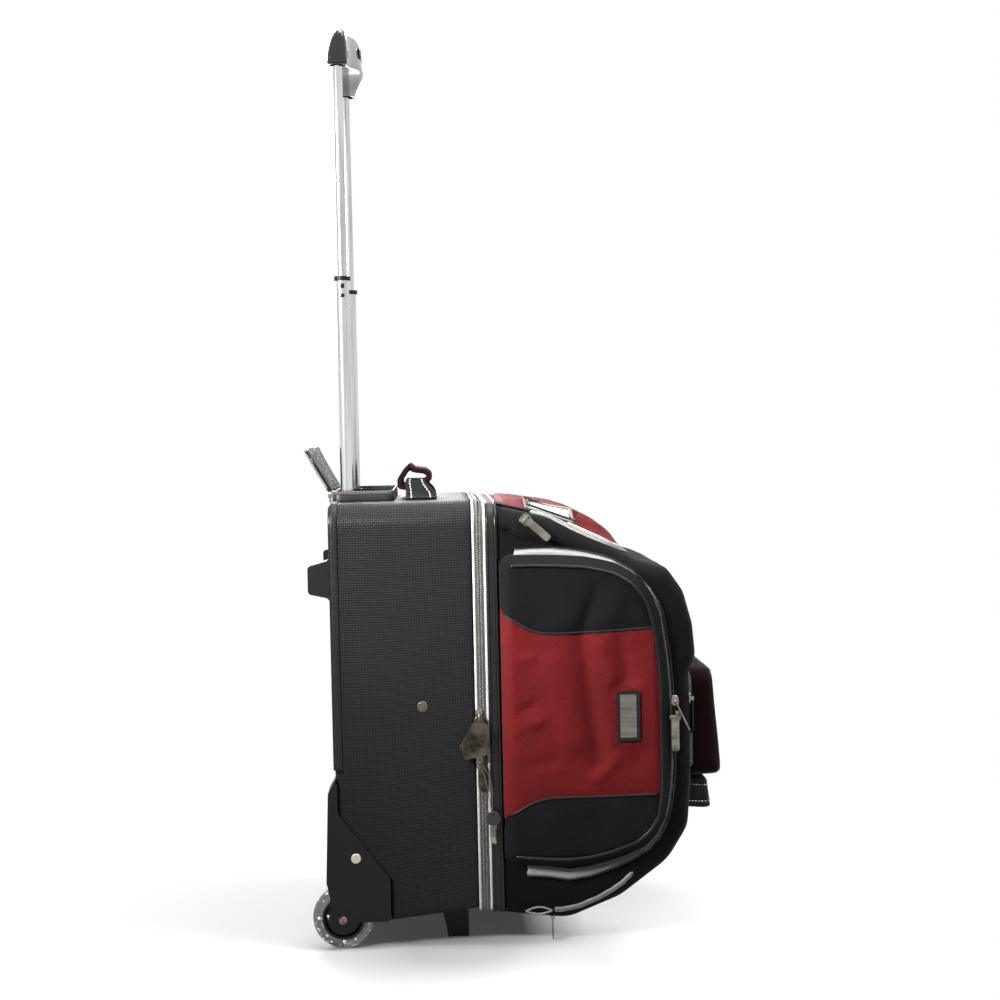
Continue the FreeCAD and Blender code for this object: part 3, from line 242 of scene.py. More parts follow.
def zipperTape(name, colour, shade, pitch=0.0016):
    # Woven polyester zipper tape with fine ribs across it.
    return wovenCloth(name, shade, colour, pitch, roughness=0.5, sheen=0.1, depth=0.00015)


def glitterUrethane():
    # Cast polyurethane tyres: water-clear with a grey cast, IOR 1.5, and metal flakes of a
    # millimetre or two sunk in them that flash where they lie flat.
    material, tree, shader = newMaterial("clear_glitter_urethane", Roughness=0.12, IOR=1.5)
    shader.inputs["Transmission Weight"].default_value = 0.55
    coords = coordinates(tree)
    cells = addNode(tree, "ShaderNodeTexVoronoi", {"Scale": 210.0}, {"Vector": coords})
    near = mathNode(tree, "LESS_THAN", cells.outputs["Distance"], 0.34)
    pick = addNode(tree, "ShaderNodeSeparateColor", None, {"Color": cells.outputs["Color"]})
    chosen = mathNode(tree, "GREATER_THAN", pick.outputs[0], 0.45)
    mask = product(tree, near, chosen)
    tone = colourBetween(tree, pick.outputs[1], linear("#b4b8b5"), linear("#ffffff"))
    colourBy(tree, shader, mask, linear("#8f9390"), tone)
    tree.links.new(mask, shader.inputs["Metallic"])
    relief(tree, shader, pick.outputs[2], 0.0003)
    return material


def rivetMetal():
    # The small rivets by the wheels are bright nickel; the ones higher up are dark bronze.
    material, tree, shader = newMaterial("plated_rivets", Metallic=1.0, Roughness=0.32)
    coords = coordinates(tree)
    high = mathNode(tree, "GREATER_THAN", axesOf(tree, coords)[2], 0.2)
    marks = cloudy(tree, coords, 0.003)
    bronze = colourBetween(tree, marks, linear("#4a4238"), linear("#7d766a"))
    nickel = colourBetween(tree, marks, linear("#a79c8e"), linear("#d3cabd"))
    colourBy(tree, shader, high, nickel, bronze)
    relief(tree, shader, marks, 0.0001)
    return material


finishes = {
    "shellVinyl": grainedVinyl("grained_black_vinyl", "#121213", "#3a3a3c"),
    "bandVinyl": smoothVinyl("glossy_black_binding", "#060606"),
    "bandSatin": smoothVinyl("satin_black_binding", "#070708", 0.38),
    "whitePiping": smoothVinyl("white_vinyl_piping", "#d9d9d6", 0.3),
    "blackNylon": wovenCloth("black_satin_nylon", "#060607", "#151518", 0.0012, roughness=0.5),
    "lidNylon": wovenCloth("black_oxford_nylon", "#040404", "#0f0f10", 0.0016, roughness=0.55),
    "redNylon": wovenCloth("red_ripstop_nylon", "#3a0c0e", "#701a1c", 0.0013, roughness=0.5),
    # Red nylon darkened far below the side pockets' red: a painted shade for the front pocket's
    # sides.
    "redNylonShadeDarkened": wovenCloth("red_nylon_darkened_as_shade", "#0b0303", "#1d0809", 0.0013, roughness=0.6),
    "webbing": wovenCloth("black_polypropylene_webbing", "#060606", "#19191a", 0.0028,
                          roughness=0.48, depth=0.0005),
    "silverTape": zipperTape("silver_zipper_tape", "#a5a5a1", "#6c6c68"),
    "greyTape": zipperTape("grey_zipper_tape", "#5f5d58", "#35332f"),
    "tapeCord": zipperTape("white_zipper_cord", "#d6d6d3", "#8e8e8a", 0.0024),
    "thread": wovenCloth("pale_polyester_thread", "#1c1c1c", "#333332", 0.001, roughness=0.6),
    "coil": moulded("nylon_zipper_coil", "#58595b", 0.3, grain=0.002),
    "silverCoil": moulded("silver_zipper_coil", "#8f8f8b", 0.25, grain=0.002, Metallic=0.6),
    "knitLining": wovenCloth("grey_knit_lining", "#26262a", "#3c3c41", 0.0024, roughness=0.9,
                             sheen=0.4, depth=0.0004),
    "padNylon": wovenCloth("padded_black_nylon", "#060607", "#171719", 0.0016),
    "redBinding": wovenCloth("red_grosgrain_binding", "#2e0709", "#571016", 0.0018),
    "greyRibbon": wovenCloth("grey_grosgrain_ribbon", "#5e5e59", "#a3a39d", 0.0016),
    "reflective": moulded("reflective_thread", "#b9bbb8", 0.35, grain=0.002),
    "keyPlastic": moulded("dark_key_bow", "#0c0c0a", 0.45, 0.001, 0.0001),
    "guardPlastic": moulded("grained_black_polypropylene", "#080808", 0.48, 0.0014, 0.00018,
                            Specular_IOR_Level=0.2),
    "rubber": moulded("black_rubber", "#080808", 0.62, 0.001, 0.0001, Specular_IOR_Level=0.2),
    "hardNylon": moulded("satin_black_nylon_plastic", "#070707", 0.4, 0.0012, 0.00008,
                         Specular_IOR_Level=0.25),
    "glossBlack": moulded("polished_black_abs", "#080808", 0.12, 0.004, 0.00002,
                          Coat_Weight=0.5),
    "satinSilver": moulded("silver_painted_abs", "#a9abac", 0.32, 0.0015, 0.00004,
                           Metallic=0.7),
    "glitter": glitterUrethane(),
    "rivets": rivetMetal(),
    "paperCard": moulded("white_card", "#ececea", 0.7, 0.002, 0.00003, Specular_IOR_Level=0.3),
    "nickel": plainMetal("nickel_plated_zinc", "#8f8a80", 0.3, "#5f5a51"),
    "tarnished": plainMetal("tarnished_nickel", "#4f483d", 0.42, "#2a251e", patch=0.006),
    "wornNickel": plainMetal("worn_nickel_plate", "#5c564b", 0.34, "#29241e", patch=0.02),
    "darkSteel": plainMetal("oiled_steel", "#8a7069", 0.42, "#51413b", patch=0.004),
    "bearingSteel": plainMetal("ground_bearing_steel", "#9ea1a3", 0.25, "#86898b"),
    "polishedTube": plainMetal("polished_aluminium_tube", "#d9dadb", 0.16, "#b4b6b7",
                               brushed=(1.0, 1.0, 0.03)),
    "anodised": plainMetal("anodised_aluminium", "#8f9193", 0.34, "#7b7d80",
                           brushed=(1.0, 1.0, 0.03)),
    "badgeMetal": plainMetal("brushed_zinc_plate", "#7d7b74", 0.38, "#57554f",
                             brushed=(0.05, 1.0, 1.0)),
}
print("finishes ready")


# A mesh object from points in millimetres and its faces; material names one finish or a
# list of them, and slots says which of them each face has.
def meshPiece(name, points, faces, material, uv=None, slots=None):
    mesh = bpy.data.meshes.new(name)
    mesh.from_pydata((np.asarray(points).reshape(-1, 3) * 0.001).tolist(), [],
                     np.asarray(faces).tolist())
    if uv is not None:
        layer = mesh.uv_layers.new(name="UVMap")
        layer.data.foreach_set("uv", np.asarray(uv, np.float32).ravel())
    for each in (material if isinstance(material, list) else [material]):
        mesh.materials.append(finishes[each])
    if slots is not None:
        mesh.polygons.foreach_set("material_index", np.asarray(slots, np.int32).ravel())
    mesh.polygons.foreach_set("use_smooth", np.ones(len(mesh.polygons), bool))
    mesh.update()
    return linked(name, mesh)


# Doubles merged, and where asked the open ends filled and the normals turned outwards.
def cleaned(piece, facesOut=True, filled=False):
    work = bmesh.new()
    work.from_mesh(piece.data)
    bmesh.ops.remove_doubles(work, verts=work.verts, dist=2e-6)
    bmesh.ops.dissolve_degenerate(work, edges=work.edges, dist=1e-6)
    if filled:
        ends = [edge for edge in work.edges if edge.is_boundary]
        bmesh.ops.holes_fill(work, edges=ends, sides=0)
    if facesOut:
        bmesh.ops.recalc_face_normals(work, faces=work.faces)
    work.to_mesh(piece.data)
    work.free()
    return piece


# A grid of points (rows, columns, 3) joined into quads; either way round it may close. The
# UV map holds the mean arc length in metres along columns and rows.
def gridPiece(name, points, material, closeRows=False, closeColumns=False, slots=None,
              clean=True):
    points = np.asarray(points, float)
    rows, columns = points.shape[:2]
    index = np.arange(rows * columns).reshape(rows, columns)
    r, k = np.meshgrid(np.arange(rows if closeRows else rows - 1),
                       np.arange(columns if closeColumns else columns - 1), indexing="ij")
    r, k = r.ravel(), k.ravel()
    nextRow, nextColumn = (r + 1) % rows, (k + 1) % columns
    faces = np.stack([index[r, k], index[nextRow, k], index[nextRow, nextColumn],
                      index[r, nextColumn]], axis=1)
    ring = np.concatenate([points, points[:1]], axis=0)
    v = np.concatenate([[0], np.linalg.norm(np.diff(ring, axis=0), axis=2).mean(axis=1).cumsum()])
    ring = np.concatenate([points, points[:, :1]], axis=1)
    u = np.concatenate([[0], np.linalg.norm(np.diff(ring, axis=1), axis=2).mean(axis=0).cumsum()])
    corners = ((r, k), (r + 1, k), (r + 1, k + 1), (r, k + 1))
    uv = np.stack([np.stack([u[column], v[row]], axis=1) for row, column in corners], axis=1)
    piece = meshPiece(name, points, faces, material, uv * 0.001,
                      None if slots is None else slots[r, k])
    return cleaned(piece) if clean else piece


def smoothStep(low, high, value):
    t = np.clip((value - low) / (high - low), 0, 1)
    return t * t * (3 - 2 * t)


def within(value, low, high, inner, outer, lowOuter=None):  # 1 inside, 0 past the margins
    return (smoothStep(low - (lowOuter or outer), low - inner, value)
            * smoothStep(high + outer, high + inner, value))


def spaced(*axes):  # points from their coordinates, each of them a number or an array
    return np.stack(np.broadcast_arrays(*axes), axis=-1)


def leftOf(along):  # flat directions turned a quarter anticlockwise
    return np.stack([-along[:, 1], along[:, 0]], axis=1)


# Soft creases from -1 to 1: the mean of sine ripples of two coordinates. Their directions,
# lengths and phases are drawn once from the seed.
def creases(a, b, seed, scale, count=7, leaning=(0, math.pi)):
    dice = np.random.default_rng(seed)
    total = 0
    for _ in range(count):
        angle = dice.uniform(*leaning)
        length = scale * dice.uniform(0.6, 1.7)
        turn = dice.uniform(0, 2 * math.pi)
        total = total + np.sin((a * math.cos(angle) + b * math.sin(angle))
                               * 2 * math.pi / length + turn)
    return total / count


# Even points along a line through the given ones.
def evenly(points, count, closed=False):
    line = np.asarray(points, float)
    if closed:
        line = np.concatenate([line, line[:1]])
    along = np.concatenate([[0], np.linalg.norm(np.diff(line, axis=0), axis=1).cumsum()])
    wanted = np.linspace(0, along[-1], count, endpoint=not closed)
    return np.stack([np.interp(wanted, along, line[:, k]) for k in range(line.shape[1])], axis=1)


# A flat outline whose corners (u, v, radius) are rounded by arcs, sampled evenly.
def rounded(corners, count, closed=True):
    line = []
    total = len(corners)
    for place, (u, v, radius) in enumerate(corners):
        here = np.array([u, v], float)
        if not closed and place in (0, total - 1):
            line.append([here])
            continue
        back = np.array(corners[place - 1][:2], float) - here
        ahead = np.array(corners[(place + 1) % total][:2], float) - here
        backLength, aheadLength = np.linalg.norm(back), np.linalg.norm(ahead)
        back, ahead = back / backLength, ahead / aheadLength
        half = math.acos(np.clip(back @ ahead, -1, 1)) / 2
        reach = min(radius / math.tan(half), 0.49 * backLength, 0.49 * aheadLength)
        t = np.linspace(0, 1, 9)[:, None]
        line.append((1 - t) ** 2 * (here + back * reach) + 2 * t * (1 - t) * here
                    + t ** 2 * (here + ahead * reach))
    return evenly(np.concatenate(line), count, closed)


def directions(path, closed=False):
    step = (np.roll(path, -1, axis=0) - np.roll(path, 1, axis=0)) if closed \
        else np.gradient(path, axis=0)
    return step / np.maximum(np.linalg.norm(step, axis=1, keepdims=True), 1e-9)


def frames(path, outward, closed=False):  # along, across and out at each point of a path
    along = directions(path, closed)
    out = np.broadcast_to(np.asarray(outward, float), path.shape)
    out = out - (out * along).sum(axis=1, keepdims=True) * along
    out = out / np.maximum(np.linalg.norm(out, axis=1, keepdims=True), 1e-9)
    return along, np.cross(out, along), out


# A profile carried along a path: each of its points is (across, out) in millimetres.
def sweep(name, path, outward, profile, material, closed=False):
    across, out = frames(path, outward, closed)[1:]
    shape = np.asarray(profile, float)
    if shape.ndim == 2:
        shape = np.broadcast_to(shape, (len(path),) + shape.shape)
    points = path[:, None] + across[:, None] * shape[:, :, :1] + out[:, None] * shape[:, :, 1:]
    if not closed:
        caps = [np.repeat(points[end].mean(axis=0)[None, None], points.shape[1], axis=1)
                for end in (0, -1)]
        points = np.concatenate([caps[0], points, caps[1]])
    return gridPiece(name, points, material, closeRows=closed, closeColumns=True)


def roundProfile(radius, count=10, flatness=1.0):
    angle = np.linspace(0, 2 * math.pi, count, endpoint=False)
    return np.stack([radius * np.cos(angle), radius * flatness * np.sin(angle)], axis=1)


def flatProfile(width, thickness, lift=0.0):  # a strap's section with softened edges
    w, t = width / 2, thickness / 2
    shape = np.array([(-w, -t * 0.5), (-w, t * 0.5), (-w + t, t), (-w / 3, t), (w / 3, t),
                      (w - t, t), (w, t * 0.5), (w, -t * 0.5), (w - t, -t), (w / 3, -t),
                      (-w / 3, -t), (-w + t, -t)])
    return shape + [0, lift]


def strapProfiles(widths, thickness):  # one section for each point of a path
    return np.stack([flatProfile(width, thickness) for width in widths])


# A pod is a small stitch or tooth: its half length along, half width across and half height.
podSizes = {"bindingStitch": (1.5, 0.35, 0.3), "rimStitch": (1.5, 0.35, 0.35),
            "boxStitch": (1.1, 0.4, 0.35), "handleStitch": (1.5, 0.9, 0.35),
            "footStitch": (1.5, 0.8, 0.35), "mainTooth": (0.95, 1.6, 0.9),
            "sideTooth": (0.9, 1.6, 0.9), "frontTooth": (0.9, 1.6, 0.8),
            "thinTooth": (0.9, 1.7, 0.8), "garageTooth": (0.9, 1.3, 0.7),
            "coverTooth": (0.9, 1.2, 0.6), "tapeWeave": (0.75, 2.3, 0.6)}


# Pods of one kind along a path, every pitch millimetres. side moves them across, lift
# outwards, start by half a pitch along, and tilt slants them.
def pods(name, path, outward, pitch, kind, material, closed=False, side=0.0, lift=0.0,
         start=0, tilt=0.0):
    size = podSizes[kind]
    length = np.linalg.norm(np.diff(path, axis=0), axis=1).sum()
    count = max(2, int(length / pitch))
    fine = evenly(path, count * 2 + 1, closed)
    along, across, out = frames(fine, np.broadcast_to(outward, path.shape)[0]
                                if np.ndim(outward) == 1 else
                                evenly(outward, len(fine), closed), closed)
    pick = np.arange(start, len(fine), 2)
    ringTurn = np.linspace(0, 2 * math.pi, 6, endpoint=False)
    rows = np.array([(-1, 0.3), (-0.7, 0.85), (0, 1), (0.7, 0.85), (1, 0.3)])
    base = np.stack([np.repeat(rows[:, 0], 6) * size[0],
                     np.outer(rows[:, 1], np.cos(ringTurn)).ravel() * size[1],
                     np.outer(rows[:, 1], np.sin(ringTurn)).ravel() * size[2]], axis=1)
    base[:, 0] += tilt * base[:, 1]
    points = (fine[pick][:, None] + across[pick][:, None] * (base[None, :, 1:2] + side)
              + out[pick][:, None] * (base[None, :, 2:3] + lift)
              + along[pick][:, None] * base[None, :, :1])
    quad = []
    for row in range(4):
        for k in range(6):
            quad.append((row * 6 + k, row * 6 + (k + 1) % 6, row * 6 + 6 + (k + 1) % 6,
                         row * 6 + 6 + k))
    quad += [(0, 5, 4, 3), (0, 3, 2, 1), (24, 25, 26, 27), (24, 27, 28, 29)]
    faces = (np.array(quad)[None] + np.arange(len(pick))[:, None, None] * 30).reshape(-1, 4)
    shade = np.repeat(np.linspace(0, length * 0.001, len(faces)), 4)
    uv = np.stack([shade, np.tile([0, 0, 0.001, 0.001], len(faces))], axis=1)
    return meshPiece(name, points, faces, material, uv)


def zipRun(path, outward, width, tape, tooth):  # a tape with its row of teeth on top
    return [sweep("tape", path, outward, flatProfile(width, 1.4), tape),
            pods("teeth", path, outward, 2.7, tooth, "coil", lift=0.8)]


def joined(name, pieces):  # several meshes made one piece, each with its own materials
    with bpy.context.temp_override(active_object=pieces[0], object=pieces[0],
                                   selected_objects=pieces,
                                   selected_editable_objects=pieces):
        bpy.ops.object.join()
    pieces[0].name = name
    pieces[0].data.name = name
    return pieces[0]


def thickened(piece, thickness, offset=-1.0, even=True):  # a wall for an open sheet, in mm
    wall = piece.modifiers.new("wall", "SOLIDIFY")
    wall.thickness = thickness * 0.001
    wall.offset = offset
    wall.use_even_offset = even
    wall.use_quality_normals = True
    return applied(piece)


def applied(piece):  # its modifiers made part of its mesh
    shape = bpy.data.meshes.new_from_object(
        piece.evaluated_get(bpy.context.evaluated_depsgraph_get()))
    old = piece.data
    piece.modifiers.clear()
    piece.data = shape
    shape.name = piece.name
    bpy.data.meshes.remove(old)
    return piece


def cutAway(piece, cutter):
    cut = piece.modifiers.new("cut", "BOOLEAN")
    cut.object = cutter
    cut.operation = "DIFFERENCE"
    cut.solver = "EXACT"
    applied(piece)
    bpy.data.objects.remove(cutter)


# A piece rides on a body and stands for the CAD node that it replaces, which is hidden.
# slot and pad are not used.
def place(piece, body, node=None, slot=None, pad=None):
    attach(piece, body)
    if node:
        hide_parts(node)
    slot or node
    return piece


# The camera stands level with the bag's top, to its right, a little behind the middle.
view = {"place": (-0.0885, -2.225, 0.591), "lens": 63.7, "turn": -2.22, "down": 1.99,
        "roll": -1.2}
camera = linked("camera", bpy.data.cameras.new("camera"))
camera.data.lens = view["lens"]
camera.data.sensor_width = 36
camera.matrix_world = (Matrix.Translation(view["place"])
                       @ Matrix.Rotation(math.radians(view["turn"]), 4, "Z")
                       @ Matrix.Rotation(math.radians(90 - view["down"]), 4, "X")
                       @ Matrix.Rotation(math.radians(view["roll"]), 4, "Z"))
bpy.context.scene.camera = camera

# Places and sizes in metres; each lamp has its power, place, aim, size and cone in degrees.
studio = {"floorHalf": 30.0, "floorShare": 0.95, "worldLight": 0.04, "far": 0.05,
          # The front entries set a painted light that lifts the floor's shade ahead of the bag;
          # the pool entries set a painted shadow round the bag.
          "nearFloor": (0.25, 0.52), "paintedFrontLight": (0.01, 0.09), "paintedFrontLightShare": 0.25,
          "paintedShadowPoolMiddle": (-0.05, -0.2, 0), "paintedShadowPoolShape": (0.75, 1, 1), "paintedShadowPool": (0.04, 0.17),
          "paintedShadowPoolTone": 0.45,
          "lamps": (("key_softbox", 4.2, (-0.85, -0.9, 0.98), (-0.08, -0.18, 0.52), 0.35, 46),
                    ("top_softbox", 38, (0.15, -0.1, 2.3), (0.15, -0.1, 0.3), 1.2, 180),
                    ("floor_softbox", 14, (1.3, -0.6, 2.0), (0.7, -0.3, 0.0), 1.0, 90),
                    ("rear_softbox", 9, (-0.5, 1.5, 1.2), (0, 0, 0.4), 1.0, 90))}


# The floor reflects part of the light and glows with the rest, so it is white where nothing
# shades it, and it turns wholly white further out. Ahead of the bag it turns partly white too, a
# painted light that lifts the shade there. A faint grey pool, a painted shadow, lies along the
# bag's right side: its tone rises from the pool's set tone to 1 with the distance.
def makeFloor():
    far = studio["floorHalf"]
    mesh = bpy.data.meshes.new("floor")
    mesh.from_pydata([(-far, -far, 0), (far, -far, 0), (far, far, 0), (-far, far, 0)], [],
                     [(0, 1, 2, 3)])
    floor = linked("floor", mesh)
    material = bpy.data.materials.new("white_studio_floor")
    tree = emptyTree(material)
    share = studio["floorShare"]
    plain = {"Color": (1, 1, 1, 1)}
    coords = coordinates(tree)
    distance = vectorNode(tree, "LENGTH", coords)["Value"]
    # Ahead of the bag the floor's shading gives way in part to white: a painted light on its
    # shade.
    near = product(tree, spread(tree, distance, studio["nearFloor"], (1, 0)),
                   spread(tree, axesOf(tree, coords)["X"], studio["paintedFrontLight"],
                          (1, studio["paintedFrontLightShare"])))
    # A painted shadow: the floor darkens towards a point beside the bag, on camera and off.
    squeezed = vectorNode(tree, "MULTIPLY", coords, studio["paintedShadowPoolShape"])["Vector"]
    reach = vectorNode(tree, "DISTANCE", squeezed, studio["paintedShadowPoolMiddle"])["Value"]
    tone = spread(tree, reach, studio["paintedShadowPool"], (studio["paintedShadowPoolTone"], 1))
    seen = seenRays(tree)
    matte = addNode(tree, "ShaderNodeBsdfDiffuse", None, {"Color": product(tree, tone, share)})
    glow = addNode(tree, "ShaderNodeEmission", plain,
                   {"Strength": product(tree, seen, 1 - share)})
    both = addNode(tree, "ShaderNodeAddShader", None, {0: matte.outputs[0], 1: glow.outputs[0]})
    bright = spread(tree, seen, (0, 1), (studio["far"], 1.0))
    white = addNode(tree, "ShaderNodeEmission", plain,
                    {"Strength": product(tree, bright, tone)})
    mixed = addNode(tree, "ShaderNodeMixShader", None,
                    {0: near, 1: white.outputs[0], 2: both.outputs[0]})
    addNode(tree, "ShaderNodeOutputMaterial", None, {"Surface": mixed.outputs[0]})
    mesh.materials.append(material)


def makeLights():
    world = bpy.context.scene.world or bpy.data.worlds.new("studio")
    bpy.context.scene.world = world
    tree = emptyTree(world)
    strength = spread(tree, seenRays(tree), (0, 1), (studio["worldLight"], 1.0))
    sky = addNode(tree, "ShaderNodeBackground", {"Color": (1, 1, 1, 1)}, {"Strength": strength})
    addNode(tree, "ShaderNodeOutputWorld", None, {"Surface": sky.outputs[0]})
    for name, power, spot, aim, size, cone in studio["lamps"]:
        data = bpy.data.lights.new(name, "AREA")
        data.shape = "SQUARE"
        data.size = size
        data.energy = power
        data.spread = math.radians(cone)
        lamp = linked(name, data)
        lamp.location = spot
        lamp.visible_camera = False
        aimed = np.array(aim) - np.array(spot)
        yaw = math.atan2(aimed[1], aimed[0]) - math.pi / 2
        pitch = math.atan2(aimed[2], math.hypot(aimed[0], aimed[1])) + math.pi / 2
        lamp.rotation_euler = (pitch, 0, yaw)


makeFloor()
makeLights()
bpy.context.scene.view_settings.view_transform = "Standard"
print("camera, floor and lights ready")


# A ring round the bag seen from the front (y, z): flat sides and base, rounded shoulders.
# Every ring has the same number of points on each stretch, so rings join into a grid.
ringCounts = {"base": 16, "side": 48, "top": 34, "bend": 8}


def bagRing(half, base, top, topRadius, baseRadius):
    def run(first, last, stretch):
        t = np.linspace(0, 1, ringCounts[stretch], endpoint=False)[:, None]
        return (1 - t) * np.array(first, float) + t * np.array(last, float)

    def bend(y, z, radius, first):
        angle = np.radians(np.linspace(first, first + 90, ringCounts["bend"], endpoint=False))
        return spaced(y + radius * np.cos(angle), z + radius * np.sin(angle))

    b, t = baseRadius, topRadius
    return np.concatenate([
        run((0, base), (half - b, base), "base"), bend(half - b, base + b, b, -90),
        run((half, base + b), (half, top - t), "side"), bend(half - t, top - t, t, 0),
        run((half - t, top), (t - half, top), "top"), bend(t - half, top - t, t, 90),
        run((-half, top - t), (-half, base + b), "side"), bend(b - half, base + b, b, 180),
        run((b - half, base), (0, base), "base")])


def ringNormals(ring):  # outward normals of a ring that runs anticlockwise
    return -leftOf(directions(ring, True))


# A ring as a path in space at one x, with its outward directions. keep chooses the points
# that stay, and turn is the point where the kept run starts.
def ringPath(x, half, base, top, topRadius, baseRadius, keep=None, turn=0):
    ring = bagRing(half, base, top, topRadius, baseRadius)
    path = spaced(x, *ring.T)
    outward = spaced(0.0, *ringNormals(ring).T)
    if keep is not None:
        chosen = np.roll(keep(path), -turn)
        path, outward = [np.roll(each, -turn, axis=0)[chosen] for each in (path, outward)]
    return path, outward


# The rear half is a stiff vinyl box, open to the front: rings shrink to the middle of its
# back, run forwards along its sides, turn in over the rim and go back inside. Its sides
# bow out a little between their edges.
shell = {"wall": 3.0, "shoulder": 28.0, "corner": 5.0, "baseCorner": 5.0, "slopeStart": 62.0,
         "rimBase": 44.0, "bow": 1.6, "crease": 0.5, "bowFrom": (215, 300),
         "wellInner": 144.0, "wellLength": 61.0, "wellTop": 83.0, "wellPast": 30,
         "binding": (8.5, 1.6), "bindingIn": 4.5, "piping": 1.9, "pipingSet": 3,
         "stitchPitch": 5.2, "stitchSide": -2.6, "guardTop": 206.0}


def makeShell():
    low, high = nodeBox("rear_shell")
    rear, rim, half, top = low[0], high[0], high[1], high[2]
    slope = rear + shell["slopeStart"]

    def base(x):
        share = np.clip((x - slope) / (rim - slope), 0, 1)
        return low[2] + (shell["rimBase"] - low[2]) * share

    # Each station is x, how far the ring is set in, its scale, and whether its sides bow.
    stations = [(rear, shell["corner"], k, 0) for k in np.linspace(0, 0.97, 9)]
    for angle in np.radians(np.linspace(0, 90, 6)):
        stations.append((rear + shell["corner"] * (1 - math.cos(angle)),
                         shell["corner"] * (1 - math.sin(angle)), 1, 0))
    stations += [(x, 0, 1, 1) for x in np.linspace(rear + 12, rim - 6, 19)]
    stations += [(rim - 1.5, 0.2, 1, 0), (rim, shell["wall"] / 2, 1, 0)]
    outerRows = len(stations)
    stations += [(rim - 1.5, shell["wall"], 1, 0)]
    stations += [(x, shell["wall"], 1, 0) for x in np.linspace(rim - 8, rear + 4, 7)]
    stations += [(rear + shell["wall"], shell["wall"] + 4, k, 0)
                 for k in np.linspace(0.97, 0, 6)]
    rows = []
    for x, inset, k, free in stations:
        ring = bagRing(half - inset, base(x) + inset, top - inset,
                       shell["shoulder"] - inset * 0.8, shell["baseCorner"])
        normal = ringNormals(ring)
        if free:
            sideways = np.abs(normal[:, 0]) ** 2
            room = (smoothStep(*shell["bowFrom"], ring[:, 1])
                    * smoothStep(rear, slope - 20, x))
            bow = math.sin(math.pi * (x - rear) / (rim - rear)) * shell["bow"]
            bow = bow + shell["crease"] * creases(ring[:, 1], x, 3, 120)
            ring = ring + normal * (sideways * room * bow)[:, None]
        middle = np.array([0, (base(x) + top) / 2])
        ring = middle + (ring - middle) * k
        rows.append(spaced(x, *ring.T))
    points = np.array(rows)
    slots = np.zeros(points.shape[:2], int)
    slots[outerRows:] = 1
    skin = gridPiece("rear_shell_skin", points, ["shellVinyl", "knitLining"],
                     closeColumns=True, slots=slots)
    for side in (-1, 1):  # room for the wheels at both lower rear corners
        box = bpy.data.meshes.new("well")
        corners = np.array([(x, y, z) for x in (rear - 20, rear + shell["wellLength"])
                            for y in sorted((side * shell["wellInner"],
                                             side * (half + shell["wellPast"])))
                            for z in (0, shell["wellTop"])])
        box.from_pydata((corners * 0.001).tolist(), [],
                        [(0, 1, 3, 2), (4, 6, 7, 5), (0, 4, 5, 1), (2, 3, 7, 6), (0, 2, 6, 4),
                         (1, 5, 7, 3)])
        cutAway(skin, linked("well", box))
    place(skin, "shell", "rear_shell")

    # Flat binding round the back edge with a row of pale thread, another row along the rim, and
    # piping at the back edge.
    def above(path):
        return path[:, 2] > shell["guardTop"]

    ringArgs = (half, low[2], top, shell["shoulder"], shell["baseCorner"])
    trims = []
    path, outward = ringPath(rear + shell["bindingIn"], *ringArgs, keep=above)
    trims.append(sweep("rear_edge_binding", path, outward, flatProfile(*shell["binding"], 0.3),
                       "bandSatin"))
    trims.append(pods("rear_edge_stitches", path, outward, shell["stitchPitch"],
                      "bindingStitch", "thread", side=shell["stitchSide"], lift=1.15))
    path, outward = ringPath(rim - shell["bindingIn"], *ringArgs, keep=above)
    trims.append(pods("rim_stitches", path, outward, shell["stitchPitch"], "rimStitch",
                      "thread", lift=0.35))
    inset = shell["pipingSet"]
    path, outward = ringPath(rear - 0.2, half - inset, low[2] + inset, top - inset,
                             shell["shoulder"] - inset, shell["baseCorner"], keep=above)
    trims.append(sweep("rear_edge_piping", path, outward, roundProfile(shell["piping"]),
                       "bandVinyl"))
    place(joined("rear_shell_trim", trims), "shell", slot="rear_shell")


makeShell()
print("rear shell ready")

# The main zipper runs over the top, down the right side and under the base, and stops at
# the hinge strip on the left. Each half is a woven tape with its row of coil along the
# split; the halves meet between the two rows.
mainZip = {"half": 180.0, "base": 42.0, "shoulder": 28.0, "baseCorner": 6.0,
           "hingeLow": 84.0, "hingeHigh": 476.0, "coilPitch": 2.9, "thickness": 1.4,
           "cord": 1.5, "gap": 0.4, "toothIn": 1.5, "frontDrop": 3, "strip": 1.2, "roll": 1.5}


